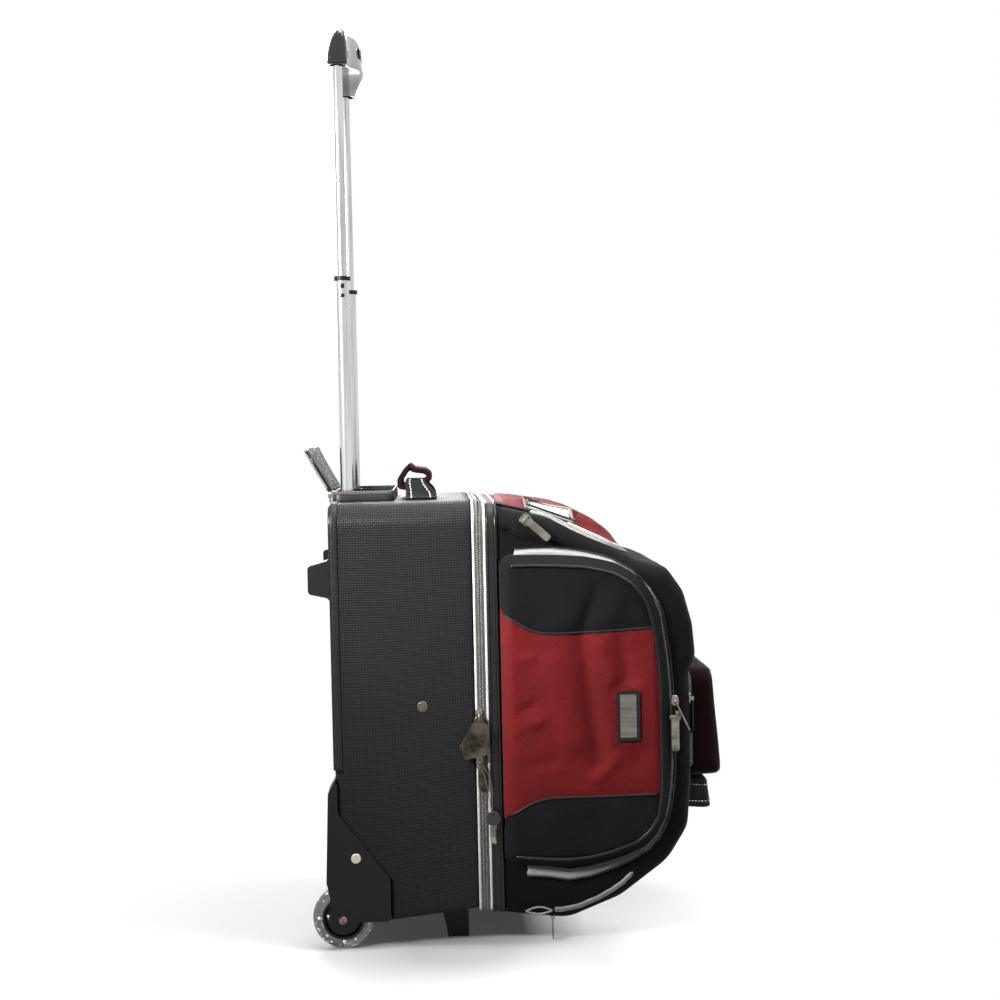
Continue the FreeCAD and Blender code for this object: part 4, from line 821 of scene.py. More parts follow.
def makeMainZip():
    rearLow, rearHigh = nodeBox("rear_zipper_tape")
    frontLow, frontHigh = nodeBox("front_zipper_tape")
    half, top = mainZip["half"], rearHigh[2]

    def notHinged(path):
        return ~((path[:, 1] > half - 1) & (path[:, 2] > mainZip["hingeLow"])
                 & (path[:, 2] < mainZip["hingeHigh"]))

    probe = bagRing(half, mainZip["base"], top, mainZip["shoulder"], mainZip["baseCorner"])
    turn = int(np.argmax((probe[:, 0] > half - 1) & (probe[:, 1] >= mainZip["hingeHigh"])))
    split = (rearHigh[0] + frontLow[0]) / 2
    for name, body, node, x0, x1, drop, side in (
            ("rear_zipper", "shell", "rear_zipper_tape", rearLow[0],
             split - mainZip["gap"], 0, -1),
            ("front_zipper", "lid", "front_zipper_tape", split + mainZip["gap"],
             frontHigh[0], mainZip["frontDrop"], 1)):
        wide = x1 - x0
        path, outward = ringPath((x0 + x1) / 2, half, mainZip["base"], top - drop,
                                 mainZip["shoulder"], mainZip["baseCorner"], notHinged, turn)
        pieces = [sweep(name + "_tape", path, outward,
                        flatProfile(wide, mainZip["thickness"], -0.2), "greyTape")]
        toothX = split - (x0 + x1) / 2 + side * mainZip["toothIn"]
        toothPath = path + np.array([toothX, 0, 0])
        pieces.append(pods(name + "_coil", toothPath, outward, mainZip["coilPitch"],
                           "mainTooth", "coil", lift=0.55,
                           start=int(side > 0)))
        edge = path + np.array([side * (wide / 2 - mainZip["cord"]), 0, 0])
        pieces.append(sweep(name + "_cord", edge, outward,
                            roundProfile(mainZip["cord"], 10, 0.62) + [0, 0.5],
                            "tapeCord"))
        place(joined(name, pieces), body, node)

    # The hinge strip: a folded vinyl band on the left, sewn to both halves.
    low, high = nodeBox("lid_hinge_strip")
    path = spaced((low[0] + high[0]) / 2, half + 0.5, np.linspace(low[2], high[2], 40))
    strip = sweep("hinge_band", path, (0, 1, 0), flatProfile(high[0] - low[0], mainZip["strip"]),
                  "bandSatin")
    roll = sweep("hinge_roll", path + np.array([split - path[0, 0], 0, 0]), (0, 1, 0),
                 roundProfile(mainZip["roll"]) + [0, 1.0], "bandVinyl")
    place(joined("hinge_strip", [strip, roll]), "shell", "lid_hinge_strip")


makeMainZip()
print("main zipper ready")

# The lid's side outline as (forwards from its rear edge, up from its base, rounding), and
# how far each stretch of it rounds over into the flat sides.
lid = {"base": 40.0,
       "outline": [(0, 0, 0), (40, -6, 30), (88, -11, 50), (150, 13, 60), (207, 54, 60),
                   (231, 92, 40), (236, 150, 30), (235, 272, 12), (244, 292, 22),
                   (241, 330, 40), (231, 368, 30), (212, 396, 22), (173, 408, 40),
                   (133, 431, 40), (73, 459, 80), (13, 473, 30), (0, 474, 0)],
       "rounding": [(-9, 8), (60, 13), (150, 15), (330, 18), (425, 21), (462, 22), (474, 27)],
       "fold": [(0, 462), (14, 454), (37, 434), (76, 425), (124, 421), (150, 419)],
       "wall": 3.0, "crease": 1.5, "count": 190, "half": 180.0, "shoulderRound": 24.0,
       "seamDip": 2.6, "seamSwell": 1.6, "fine": 0.5, "slack": 0.6, "sideColumns": 56,
       "arcColumns": 8, "acrossColumns": 40}


def lidOutline():  # its points (x, z) and their inward directions
    line = rounded(lid["outline"], lid["count"], closed=False)
    line = line + [nodeBox("lid_shell")[0][0], lid["base"]]
    return line, leftOf(directions(line))


def lidTopAt(x):  # the height of the lid's top at x, read from its outline
    line = lidOutline()[0]
    top = line[np.argmax(line[:, 0]):]
    return np.interp(x, top[::-1, 0], top[::-1, 1])


def shoulderTop(x, y):  # the lid's top where it rounds over towards the sides
    radius = lid["shoulderRound"]
    past = np.clip(np.abs(y) - (lid["half"] - radius), 0, radius - 0.5)
    return lidTopAt(x) - (radius - np.sqrt(radius ** 2 - past ** 2))


def risingShare(height):  # from 0 to 1 along the outline's heights, never falling
    span = height[-1] - height[0]
    return np.maximum.accumulate(np.clip((height - height[0]) / span, 0, 1))


# The lid is a sheet over its outline: across, it runs flat, rounds over an arc into each
# side, and the side then fills to the rear edge. Its cloth bows out by a half sine, sinks
# along the zipper by a bell curve with a softer one beside it, and creases softly.
def makeLid():
    low, high = nodeBox("lid_shell")
    line, inward = lidOutline()
    half = high[1]
    stations = len(line)
    height = line[:, 1] - lid["base"]
    radius = np.interp(height, *zip(*lid["rounding"]))
    arcs = np.radians(np.linspace(90, 0, lid["arcColumns"]))
    cross = np.linspace(-1, 1, lid["acrossColumns"])[1:-1]
    inwards = np.linspace(0.03, 1, lid["sideColumns"])
    share = np.linspace(0, 1, stations)
    start = line + inward * radius[:, None]
    spine = spaced(low[0], start[0, 1] + (start[-1, 1] - start[0, 1]) * risingShare(height))

    def sideColumn(t, sign):
        flat = start * (1 - t) + spine * t
        room = math.sin(math.pi * t) ** 0.5 * np.sin(math.pi * share) ** 0.7
        seam = np.interp(flat[:, 0] - low[0], *zip(*lid["fold"])) + lid["base"]
        gap = flat[:, 1] - seam
        ahead = flat[:, 0] - low[0]
        dip = (lid["seamSwell"] * np.exp(-((gap - 9) / 7) ** 2)
               - lid["seamDip"] * np.exp(-(gap / 3.5) ** 2))
        dip = dip * smoothStep(0, 14, ahead) * smoothStep(160, 120, ahead)
        push = room * (creases(flat[:, 0], flat[:, 1], 11, 110) * lid["crease"]
                       + lid["fine"] * creases(flat[:, 0], flat[:, 1], 12, 34)) + dip
        return spaced(flat[:, 0], sign * (half + push - lid["slack"] * room), flat[:, 1])

    def arcColumn(angle, sign):
        depth = radius * (1 - math.cos(angle))
        spot = line + inward * depth[:, None]
        return spaced(spot[:, 0], sign * (half - radius + radius * math.sin(angle)), spot[:, 1])

    columns = [sideColumn(t, -1) for t in inwards[::-1]]
    columns += [arcColumn(angle, -1) for angle in arcs]
    for k in cross:
        bow = (1 - k * k) * np.sin(math.pi * share) ** 0.5 * 0.8
        fold = creases(line[:, 1] + line[:, 0], k * lid["half"], 5, 95) * 0.8
        fold = fold * smoothStep(0.02, 0.12, share) * smoothStep(1.0, 0.86, share)
        spot = line - inward * (np.clip(bow + fold, -3, 1.2))[:, None]
        columns.append(spaced(spot[:, 0], k * (half - radius), spot[:, 1]))
    columns += [arcColumn(angle, 1) for angle in arcs[::-1]]
    columns += [sideColumn(t, 1) for t in inwards]
    points = np.stack(columns, axis=1)
    skin = gridPiece("lid_skin", points, "lidNylon")
    faceOutwards(skin)
    place(thickened(skin, lid["wall"], even=False), "lid", "lid_shell")


def faceOutwards(piece):  # an open shell turned so that its faces look away from its middle
    mesh = piece.data
    centre = np.array([v.co for v in mesh.vertices]).mean(axis=0)
    score = sum((np.array(face.center) - centre) @ np.array(face.normal) * face.area
                for face in mesh.polygons)
    if score < 0:
        mesh.flip_normals()


makeLid()

# Round the lid's rear edge run a flat band, a fat piping at its front and a bead behind.
lidBand = {"width": 12.0, "thickness": 2.0, "pipe": 2.2, "bead": 1.2, "bandIn": 6.2,
           "pipeIn": 11.5, "beadIn": 2.2}


def makeLidBand():
    low, high = nodeBox("lid_shell")
    ringArgs = (high[1], lid["base"], high[2] + 2, 28.0, 6.0)
    path, outward = ringPath(low[0] + lidBand["bandIn"], *ringArgs)
    band = sweep("band", path, outward, flatProfile(lidBand["width"], lidBand["thickness"], 0.2),
                 "bandSatin", closed=True)
    path, outward = ringPath(low[0] + lidBand["pipeIn"], *ringArgs)
    pipe = sweep("pipe", path + outward, outward, roundProfile(lidBand["pipe"]),
                 "bandVinyl", closed=True)
    path, outward = ringPath(low[0] + lidBand["beadIn"], *ringArgs)
    bead = sweep("bead", path + outward * 0.9, outward, roundProfile(lidBand["bead"], 8),
                 "bandVinyl", closed=True)
    place(joined("lid_rear_band", [band, pipe, bead]), "lid", slot="lid_shell")


makeLidBand()
print("lid ready")

# Each side of the lid carries a big shallow pocket that swings on its rear edge: a face in
# three cloths, a sloping gusset round it, piping where they meet and a zipper at its rim.
# Offsets are forwards and up from the pocket's rear lower corner.
pocket = {
    "edge": [(13, 357), (38, 357), (67, 356), (97, 354), (117, 350), (132, 346), (146, 338),
             (156, 330), (164, 320), (170, 308), (176, 285), (181, 250), (183, 216),
             (183, 156), (183, 107), (182, 85), (178, 62), (169, 47), (156, 36), (144, 31),
             (124, 24), (99, 18), (74, 16), (50, 17), (26, 19), (13, 21)],
    "upperSeam": [(0, 308), (8, 298), (21, 290), (33, 283), (47, 279), (67, 278), (107, 279),
                  (146, 281), (184, 283)],
    "lowerSeam": [(0, 62), (8, 68), (28, 80), (40, 85), (57, 88), (107, 88), (184, 89)],
    "rise": 17.5, "rearSlope": 14.0, "wall": 2.0, "pipe": 1.7, "cord": 1.3,
    "frontEnds": (250, 107), "gusset": 13.0, "swell": 1.6, "foldGain": 1.5,
    "columns": (44, 34), "fineFrom": 120, "bandRows": (16, 46, 18), "seamHalf": 5,
    "broadCrease": 1.2, "fineCrease": 0.35,
    "folds": [(93, 272, 112, 127, 11, -3.6), (113, 262, 130, 224, 9, 2.4),
              (137, 262, 148, 205, 10, -2.2), (58, 241, 82, 155, 17, 2.6),
              (4, 247, 36, 252, 5, 1.6), (6, 184, 38, 196, 5, -1.8), (6, 165, 46, 178, 6, 1.8),
              (14, 120, 60, 132, 8, -1.4), (107, 108, 128, 128, 7, 1.8),
              (150, 250, 160, 130, 14, -1.8), (113, 329, 98, 290, 8, -3.4),
              (72, 336, 81, 298, 13, 2.6), (142, 330, 128, 298, 10, 2.2),
              (30, 330, 44, 296, 9, -1.6), (58, 58, 74, 26, 14, 2.2),
              (100, 62, 108, 28, 8, -2.4), (135, 72, 142, 40, 10, 1.8)],
    "zip": [(19, 368), (38, 369), (58, 369), (78, 367), (98, 364), (118, 360), (130, 356.5),
            (141, 351), (153, 345), (164, 336), (174, 327), (184, 312), (190, 297),
            (197, 246), (199.5, 213), (201, 183), (201, 118), (199, 93), (195, 68),
            (189, 50), (181, 35), (168, 22), (147, 12), (125, 5), (100, -1), (75, -4),
            (51, 0), (27, 2)],
    "coilPitch": 2.7, "bandWide": 9.0, "bandThin": 2.0, "bandThick": 1.4, "hem": 1.1,
    "innerIn": 3.4, "innerTape": (5.0, 1.6), "weavePitch": 2.2, "openEnds": (40, 160),
    "zipCount": 190, "secondUp": 19.0, "pullLean": 0.44,
    "sliderWidths": (6, 9, 10, 10, 9.5, 9, 8, 5),
    "pullWidths": (4, 5, 5.5, 5, 5, 5, 5, 5.5, 6, 6, 6, 6, 6, 5)}


# One side pocket. Its face is a height over (x, z): columns forwards, rows between the
# lower and upper edge, banded at the two seams; it rises from the rear edge by a quarter
# sine and swells towards the middle by a power of a half sine. The cloth dips along the
# seams and ripples in slanting folds, each a bell curve of the distance from a line.
def makeSidePocket(side, sign):
    body, node = "pocket_" + side, "side_pocket_" + side
    low, high = nodeBox(node)
    origin = np.array([low[0], low[2]])
    root = min(abs(low[1]), abs(high[1]))
    badgeLow, badgeHigh = nodeBox("badge_frame")
    edge = np.array(pocket["edge"], float)
    front = edge[:, 0].max()
    turn = int(np.argmax(edge[:, 0]))
    coarse, fine = pocket["columns"]
    columns = np.concatenate([np.linspace(0, pocket["fineFrom"], coarse, endpoint=False),
                              np.linspace(pocket["fineFrom"], front, fine)])

    def edgeOver(part):  # the height of one half of the edge over the columns
        forwards = np.maximum.accumulate(part[:, 0] + np.arange(len(part)) * 1e-4)
        return np.interp(columns, forwards, part[:, 1])

    ceiling, floorLine = edgeOver(edge[:turn + 1]), edgeOver(edge[turn:][::-1])
    ceiling[-1], floorLine[-1] = pocket["frontEnds"]
    seamHigh = np.minimum(np.interp(columns, *zip(*pocket["upperSeam"])), ceiling)
    seamLow = np.maximum(np.interp(columns, *zip(*pocket["lowerSeam"])), floorLine)
    edges = (floorLine, seamLow, seamHigh, ceiling)
    rowsZ = np.concatenate([a + (b - a) * np.linspace(0, 1, n, endpoint=False)[:, None]
                            for a, b, n in zip(edges, edges[1:], pocket["bandRows"])]
                           + [ceiling[None]])
    rowsX = np.broadcast_to(columns, rowsZ.shape)
    slotRows = np.append(np.repeat([0, 1, 2], pocket["bandRows"]), 2)
    slots = np.broadcast_to(slotRows[:, None], rowsZ.shape)

    def height(x, z):
        rear = np.sin(np.clip(x / pocket["rearSlope"], 0, 1) * math.pi / 2)
        inner = smoothStep(0, 40, x) * smoothStep(0, 30, front + 2 - x)
        top = np.interp(x, columns, ceiling)
        base = np.interp(x, columns, floorLine)
        crown = np.sin(math.pi * np.clip((z - base) / np.maximum(top - base, 1), 0, 1)) ** 0.6
        folds = (pocket["broadCrease"] * creases(x, z, 21, 120, 6, (0.2, 1.2))
                 + pocket["fineCrease"] * creases(x, z, 3, 24, 6))
        for x0, z0, x1, z1, broad, lift in pocket["folds"]:
            run = np.array([x1 - x0, z1 - z0], float)
            t = np.clip(((x - x0) * run[0] + (z - z0) * run[1]) / (run @ run), 0, 1)
            apart = np.hypot(x - x0 - t * run[0], z - z0 - t * run[1])
            folds = folds + pocket["foldGain"] * lift * np.exp(-(apart / broad) ** 2)
        badge = (within(x + origin[0], badgeLow[0], badgeHigh[0], 3, 14)
                 * within(z + origin[1], badgeLow[2], badgeHigh[2], 3, 14))
        folds = folds * (1 - badge)
        dip = sum(np.exp(-((z - np.interp(x, columns, seam)) / pocket["seamHalf"]) ** 2)
                  for seam in (seamHigh, seamLow))
        return rear * (pocket["rise"] + inner * (crown * (pocket["swell"] + folds) - dip))

    def at(x, z, up):
        return spaced(x + origin[0], sign * (root + up), z + origin[1])

    def along(line, up):
        return at(line[:, 0], line[:, 1], up)

    face = gridPiece("face", at(rowsX, rowsZ, height(rowsX, rowsZ)),
                     ["blackNylon", "redNylon", "blackNylon"], slots=slots, clean=False)

    # The gusset: from the face's edge outwards and down to the rim, along the same outline.
    line = evenly(np.concatenate([[(0, 356.5)], edge, [(0, 21.5)]]), 150)
    outward = leftOf(directions(line))
    top = height(*line.T)
    reach = pocket["gusset"] * smoothStep(-8, 14, line[:, 0])
    rows = [along(line + outward * (reach * share)[:, None],
                  top * (1 - share) + 0.8 * math.sin(share * math.pi / 2))
            for share in np.linspace(0, 1, 7)]
    gusset = gridPiece("gusset", rows, "blackNylon", clean=False)
    pan = cleaned(joined("side_pocket_cloth_" + side, [face, gusset]), False)
    normal = (0, sign, 0)
    turnOut(pan, normal)
    place(thickened(pan, pocket["wall"]), body, node, pad=0.3)

    # Piping along the face's edge, and thinner cords over the two seams.
    piped = line[line[:, 0] > 9]
    cords = [sweep("edge_piping", along(piped, height(*piped.T) + 0.9), normal,
                   roundProfile(pocket["pipe"]), "bandVinyl")]
    for seam in ("upperSeam", "lowerSeam"):
        points = evenly(pocket[seam], 60)[2:-2]
        cords.append(sweep(seam, along(points, height(*points.T) + 0.4), normal,
                           roundProfile(pocket["cord"], 8), "bandSatin"))
    place(joined("side_pocket_piping_" + side, cords), body, slot=node)

    makeSideZipper(side, normal, along)
    makeSecondSlider(side, sign)


# The zipper runs along the gusset's foot. Its silver tape lies open to view at both rear
# ends and turns on edge further on, so the band narrows to a thin line. along takes a line
# on the pocket's side and a height to a path.
def makeSideZipper(side, normal, along):
    count = pocket["zipCount"]
    trail, gone = evenly(pocket["zip"], count), np.linspace(0, 1, count)
    broad = np.maximum(smoothStep(0.32, 0.1, gone), smoothStep(0.74, 0.92, gone))
    widths = pocket["bandThin"] + (pocket["bandWide"] - pocket["bandThin"]) * broad
    outwards = leftOf(directions(trail))
    inner = trail - outwards * pocket["innerIn"]
    coil = pods("coil", along(inner, 2.6), normal, pocket["coilPitch"], "sideTooth", "coil")
    tape = sweep("tape", along(inner, 1.6), normal, flatProfile(*pocket["innerTape"]),
                 "bandSatin")
    place(joined("side_zipper_inner_" + side, [tape, coil]), "pocket_" + side,
          slot="front_zipper_tape")

    def beside(share, gap):  # the trail moved out by a share of the band's width less a gap
        return trail + outwards * (widths * share - gap)[:, None]

    outer = [sweep("band", along(beside(0.5, 1.6), 1.5), normal,
                   strapProfiles(widths, pocket["bandThick"]), "silverTape"),
             sweep("cord", along(beside(1, 1.2), 1.9), normal,
                   roundProfile(pocket["hem"], 8), "bandVinyl")]
    first, last = pocket["openEnds"]
    outer += [pods("weave", along(beside(0.5, 1.4)[part], 2.1), normal, pocket["weavePitch"],
                   "tapeWeave", "tapeCord", tilt=0.45)
              for part in (slice(0, first), slice(last, count))]
    place(joined("side_zipper_outer_" + side, outer), "lid", slot="front_zipper_tape")


# A second slider above the first, its pull lying forwards.
def makeSecondSlider(side, sign):
    normal = (0, sign, 0)
    top = np.array(nodeBox("side_slider_" + side)).mean(axis=0) + [0, 0, pocket["secondUp"]]
    top[1] = sign * (abs(nodeBox("lid_shell")[1][1]) + 2.6)
    slider = sweep("slider", top + np.outer(np.linspace(-6, 6, 8), [0, 0, 1]), normal,
                   strapProfiles(pocket["sliderWidths"], 3.0), "nickel")
    lean = pocket["pullLean"]
    path = top + [0, sign * 4.8, 0] + np.outer(np.linspace(-2, 38, len(pocket["pullWidths"])),
                                               [math.sin(lean), 0, -math.cos(lean)])
    pull = sweep("pull", path, (1, 0, math.tan(lean)),
                 strapProfiles(pocket["pullWidths"], 2.2), "nickel")
    place(joined("side_second_slider_" + side, [slider, pull]), "lid",
          slot="side_slider_" + side)


def turnOut(piece, direction):  # an open sheet turned so that it mostly faces one way
    work = bmesh.new()
    work.from_mesh(piece.data)
    bmesh.ops.recalc_face_normals(work, faces=work.faces)
    if sum(face.normal.dot(direction) * face.calc_area() for face in work.faces) < 0:
        bmesh.ops.reverse_faces(work, faces=work.faces)
    work.to_mesh(piece.data)
    work.free()


makeSidePocket("right", -1)
makeSidePocket("left", 1)
print("side pockets ready")

# The top pocket is a red hump that lifts at its front. Across the bag its height is the soft
# minimum of a flat crest and a ramp that falls to the edge; forwards it follows the crest
# line. It is pinched along two lines by a bell curve, lies flat under the card window and
# never dips below the lid.
hump = {"crest": [(13, 2), (24, 6), (42, 5), (92, -4), (110, -10), (130, -21), (144, -31.5),
                  (153, -40), (160, -50), (165, -57)],
        "crestHalf": 105.0, "edgeHalf": 150.0, "edgeWiden": 12.0, "edgeRise": 3.0,
        "tail": 13.0, "nose": 164.0, "noseRound": 38.0, "sharpness": 16, "wall": 2.2,
        "pipe": 1.7, "binding": 1.9, "under": 0.65, "highest": 5.9, "seatDrop": 1.9,
        "broadFold": 1.28, "fineFold": 0.88, "pinch": (2.2, 128, 9), "skirt": 0.8,
        "zipOut": 4.0, "zipFrom": 52, "pipeFrom": 96, "zipTape": (7.5, 1.2)}


def windowPlane():  # the card frame's four upper corners and the direction it faces
    low, high = nodeBox("id_window_frame")
    held = np.array([v.co for v in nodes["id_window_frame"].data.vertices]) * 1000
    found = []
    for x, y in ((low[0], low[1]), (high[0], low[1]), (high[0], high[1]), (low[0], high[1])):
        near = held[np.hypot(held[:, 0] - x, held[:, 1] - y) < 1.0]
        found.append(near[np.argmax(near[:, 2])])
    found = np.array(found)
    up = np.cross(found[1] - found[0], found[3] - found[0])
    return found, up / np.linalg.norm(up)


def makeTopPocket():
    low, high = nodeBox("lid_shell")
    rear, top = low[0], high[2]
    tail, nose, noseRound = hump["tail"], hump["nose"], hump["noseRound"]
    forwards = tail + (nose - tail) * np.sin(np.linspace(0, 1, 46) * math.pi / 2)
    share, ahead = np.meshgrid(np.linspace(-1, 1, 74), forwards)
    turned = np.clip((ahead - nose) / noseRound + 1, 0, 1)
    half = (hump["edgeHalf"] + hump["edgeWiden"] * smoothStep(40, 110, ahead)
            - noseRound * (1 - np.sqrt(1 - turned ** 2)))
    x, y = rear + ahead, share * half
    crestZ = top + np.interp(x - rear, *zip(*hump["crest"]))
    edgeZ = lidTopAt(x) + 1.0 + hump["edgeRise"]
    reach = (hump["edgeHalf"] - np.abs(y)) / (hump["edgeHalf"] - hump["crestHalf"])
    sharp = hump["sharpness"]
    side = -np.log(np.exp(-sharp * reach) + math.exp(-sharp)) / sharp
    seat, up = windowPlane()
    windowLow, windowHigh = seat.min(axis=0), seat.max(axis=0)
    inWindow = (within(x, windowLow[0], windowHigh[0], 1, 10)
                * within(y, windowLow[1], windowHigh[1], 1, 10, 6))
    seatZ = (seat[0, 2] - hump["seatDrop"]
             - ((x - seat[0, 0]) * up[0] + (y - seat[0, 1]) * up[1]) / up[2])
    inside = 1 - np.abs(share)
    folds = (hump["broadFold"] * creases(x, y, 4, 70, 6) * smoothStep(0, 0.15, inside)
             * smoothStep(13, 40, ahead) * (1 - inWindow)
             + hump["fineFold"] * creases(x + np.abs(y), y, 6, 30, 5)
             * smoothStep(80, 125, ahead) * smoothStep(0.02, 0.2, inside))
    folds = folds * smoothStep(161, 150, ahead)
    depth, where, broad = hump["pinch"]
    pinch = (depth * np.exp(-((np.abs(y) - where) / broad) ** 2)
             * smoothStep(70, 110, ahead) * smoothStep(160, 140, ahead))
    z = edgeZ + (np.maximum(crestZ, edgeZ + 1.5) - edgeZ) * side + folds - pinch
    z = np.maximum(z, shoulderTop(x, y) + hump["edgeRise"]) - hump["under"]
    z = np.minimum(z, top + hump["highest"])
    points = spaced(x, y, z * (1 - inWindow) + seatZ * inWindow)
    skin = gridPiece("top_pocket_cloth", points, "redNylon", clean=False)
    turnOut(skin, (0, 0, 1))
    place(thickened(skin, hump["wall"]), "top_pocket", "top_pocket_flap", pad=0.3)
    rim = np.concatenate([points[:, 0], points[-1, 1:-1], points[::-1, -1]])
    makeTopTrim(evenly(rim, 220), rear)


# Round the free edge: white piping at the front, black binding outside it, and a black
# skirt down to the lid.
def makeTopTrim(rim, rear):
    outward = (rim - [rear + 60, 0, 0]) * [1, 1, 0]
    outward = outward / np.linalg.norm(outward, axis=1, keepdims=True)
    place(sweep("top_pocket_binding", rim + outward * 0.8 + [0, 0, -1.4], outward,
                roundProfile(hump["binding"]), "bandVinyl"), "top_pocket",
          slot="top_pocket_flap")
    ahead = rim[:, 0] > rear + hump["pipeFrom"]
    place(sweep("top_pocket_piping", rim[ahead] - outward[ahead] * 1.6 + [0, 0, 1.0],
                outward[ahead], roundProfile(hump["pipe"]), "whitePiping"), "top_pocket",
          slot="top_pocket_flap")
    ground = spaced(rim[:, 0], rim[:, 1], shoulderTop(rim[:, 0], rim[:, 1]) + 0.6)
    skirt = np.stack([rim + [0, 0, -1.5], (rim + ground) / 2 + outward * 0.6,
                      ground + outward * 0.3])
    place(thickened(gridPiece("top_pocket_skirt", skirt, "blackNylon", clean=False),
                    hump["skirt"], 0.0), "top_pocket", slot="top_pocket_flap")

    # Its zipper lies on the lid along the near, front and far edges.
    run, runOut = (evenly(each[rim[:, 0] > rear + hump["zipFrom"]], 170)
                   for each in (rim, outward))
    bed = run + runOut * hump["zipOut"]
    bed = spaced(bed[:, 0], bed[:, 1], shoulderTop(run[:, 0], bed[:, 1]))
    sideways = np.sign(bed[:, 1]) * 0.9 * smoothStep(140, 156, np.abs(bed[:, 1]))
    facing = spaced(0.35, sideways, 1.0)
    tape = sweep("tape", bed + facing * 0.7, facing, flatProfile(*hump["zipTape"]), "silverTape")
    teeth = pods("teeth", bed + facing * 1.2, facing, 2.6, "thinTooth", "silverCoil",
                 lift=0.3)
    place(joined("top_zipper", [tape, teeth]), "lid", slot="lid_sliders")


makeTopPocket()
print("top pocket ready")

# The front pocket: a padded black pocket on the lid's front, red round its sides, the red
# darkened as a painted shade. Its edge is drawn in (y, z) and shrinks to the middle ring by
# ring; each ring of the profile says its share of the edge and how far it has risen. Its face
# swells and creases softly.
frontPocket = {"fuller": 1.222, "lean": 5.0, "lower": 8.0, "crown": 4.0, "wall": 2.4,
               "fold": 3.0, "pipe": 1.7, "faceFrom": 0.9,
               "profile": ((1.0, 0.0), (1.0, 0.25), (1.0, 0.55), (0.995, 0.82), (0.985, 0.95),
                           (0.95, 0.99), (0.86, 1.0), (0.74, 1.0), (0.6, 1.0), (0.45, 1.0),
                           (0.3, 1.0), (0.15, 1.0), (0.0, 1.0)), "pipedRing": 5,
               "zipFlat": 162, "zipReach": 17, "zipRound": 18, "zipFrom": 12}


def makeFrontPocket():
    low, high = nodeBox("front_pocket")
    halfY, base, top, rear = high[1], low[2], high[2], low[0]
    halfZ = (top - base) / 2
    middle = (top + base) / 2 - frontPocket["lower"]
    edge = rounded([(-halfY, -halfZ, 16), (halfY, -halfZ, 16), (halfY, halfZ, 18),
                    (-halfY, halfZ, 18)], 160)
    rows, slots = [], []
    depth = (high[0] - low[0]) * frontPocket["fuller"]
    for share, rise in frontPocket["profile"]:
        y, z = edge.T * share
        x = rear + depth * rise - frontPocket["lean"] * (z / halfZ + 0.3) * rise
        if rise > frontPocket["faceFrom"]:
            slack = frontPocket["fold"] * creases(y, z, 17, 80, 6)
            x = x + frontPocket["crown"] * (1 - share ** 2) + slack * smoothStep(1, 0.8, share)
        rows.append(spaced(x, y, z + middle))
        slots.append(np.full(160, int(rise < frontPocket["faceFrom"])))
    # The sides take the red darkened as a painted shade.
    cloth = cleaned(gridPiece("front_pocket_cloth", rows, ["lidNylon", "redNylonShadeDarkened"],
                              closeColumns=True, slots=np.array(slots), clean=False), False)
    turnOut(cloth, (1, 0, 0))
    place(thickened(cloth, frontPocket["wall"]), "front_pocket_flap", "front_pocket",
          pad=0.35)
    place(sweep("front_pocket_piping", rows[frontPocket["pipedRing"]] + [0.6, 0, 0], (1, 0, 0),
                roundProfile(frontPocket["pipe"]), "bandVinyl", closed=True),
          "front_pocket_flap", slot="front_pocket")

    # Its zipper lies on the lid round the sides and the top, bent back at the shoulders.
    ring = rounded([(-halfY - 12, -halfZ - 4, 24), (halfY + 12, -halfZ - 4, 24),
                    (halfY + 12, halfZ + 5, 36), (-halfY - 12, halfZ + 5, 36)], 200)
    y, z = ring.T
    past = np.clip(np.abs(y) - frontPocket["zipFlat"], 0, frontPocket["zipReach"])
    bend = frontPocket["zipRound"]
    path = spaced(rear + 0.9 - (bend - np.sqrt(bend ** 2 - past ** 2)), y, z + middle)
    sideways = np.sign(y) * smoothStep(halfY - 20, halfY + 8, np.abs(y)) * 1.6
    keep = z > frontPocket["zipFrom"] - halfZ
    first = int(np.argmax(~keep))
    path, outward = (np.roll(each, -first, axis=0)[np.roll(keep, -first)]
                     for each in (path, spaced(1.0, sideways, 0.0)))
    place(joined("front_zipper_run", zipRun(path, outward, 8.0, "greyTape", "frontTooth")),
          "lid", slot="lid_sliders")


makeFrontPocket()
print("front pocket ready")

# The garage round the handle's tubes: a low vinyl wall with a zipper on its rim, and a
# padded cover that stands folded back from its rear edge.
garage = {"wall": 2.5, "round": 8.0, "fold": 122.0, "reach": 60.0, "coverHalf": 103.0,
          "coverRound": 26.0, "coverThick": 4.6, "ruffle": 1.6, "waves": 17.0, "sag": 3.0,
          "zipIn": 1.2, "zipTape": (3.6, 1.3), "zipPitch": 2.8, "coverTape": (5.0, 1.2),
          "tapeIn": 0.035, "tapeOut": 3.4, "hingeBack": 2.4, "hingeUp": 1.5, "cord": 2.0,
          "edgeRing": 5, "leaf": 8, "leafThick": 1.6,
          "profile": ((0.02, -1), (0.5, -1), (0.8, -0.95), (0.93, -0.8), (0.985, -0.5),
                      (1.0, 0), (0.985, 0.5), (0.93, 0.8), (0.8, 0.95), (0.5, 1), (0.02, 1))}


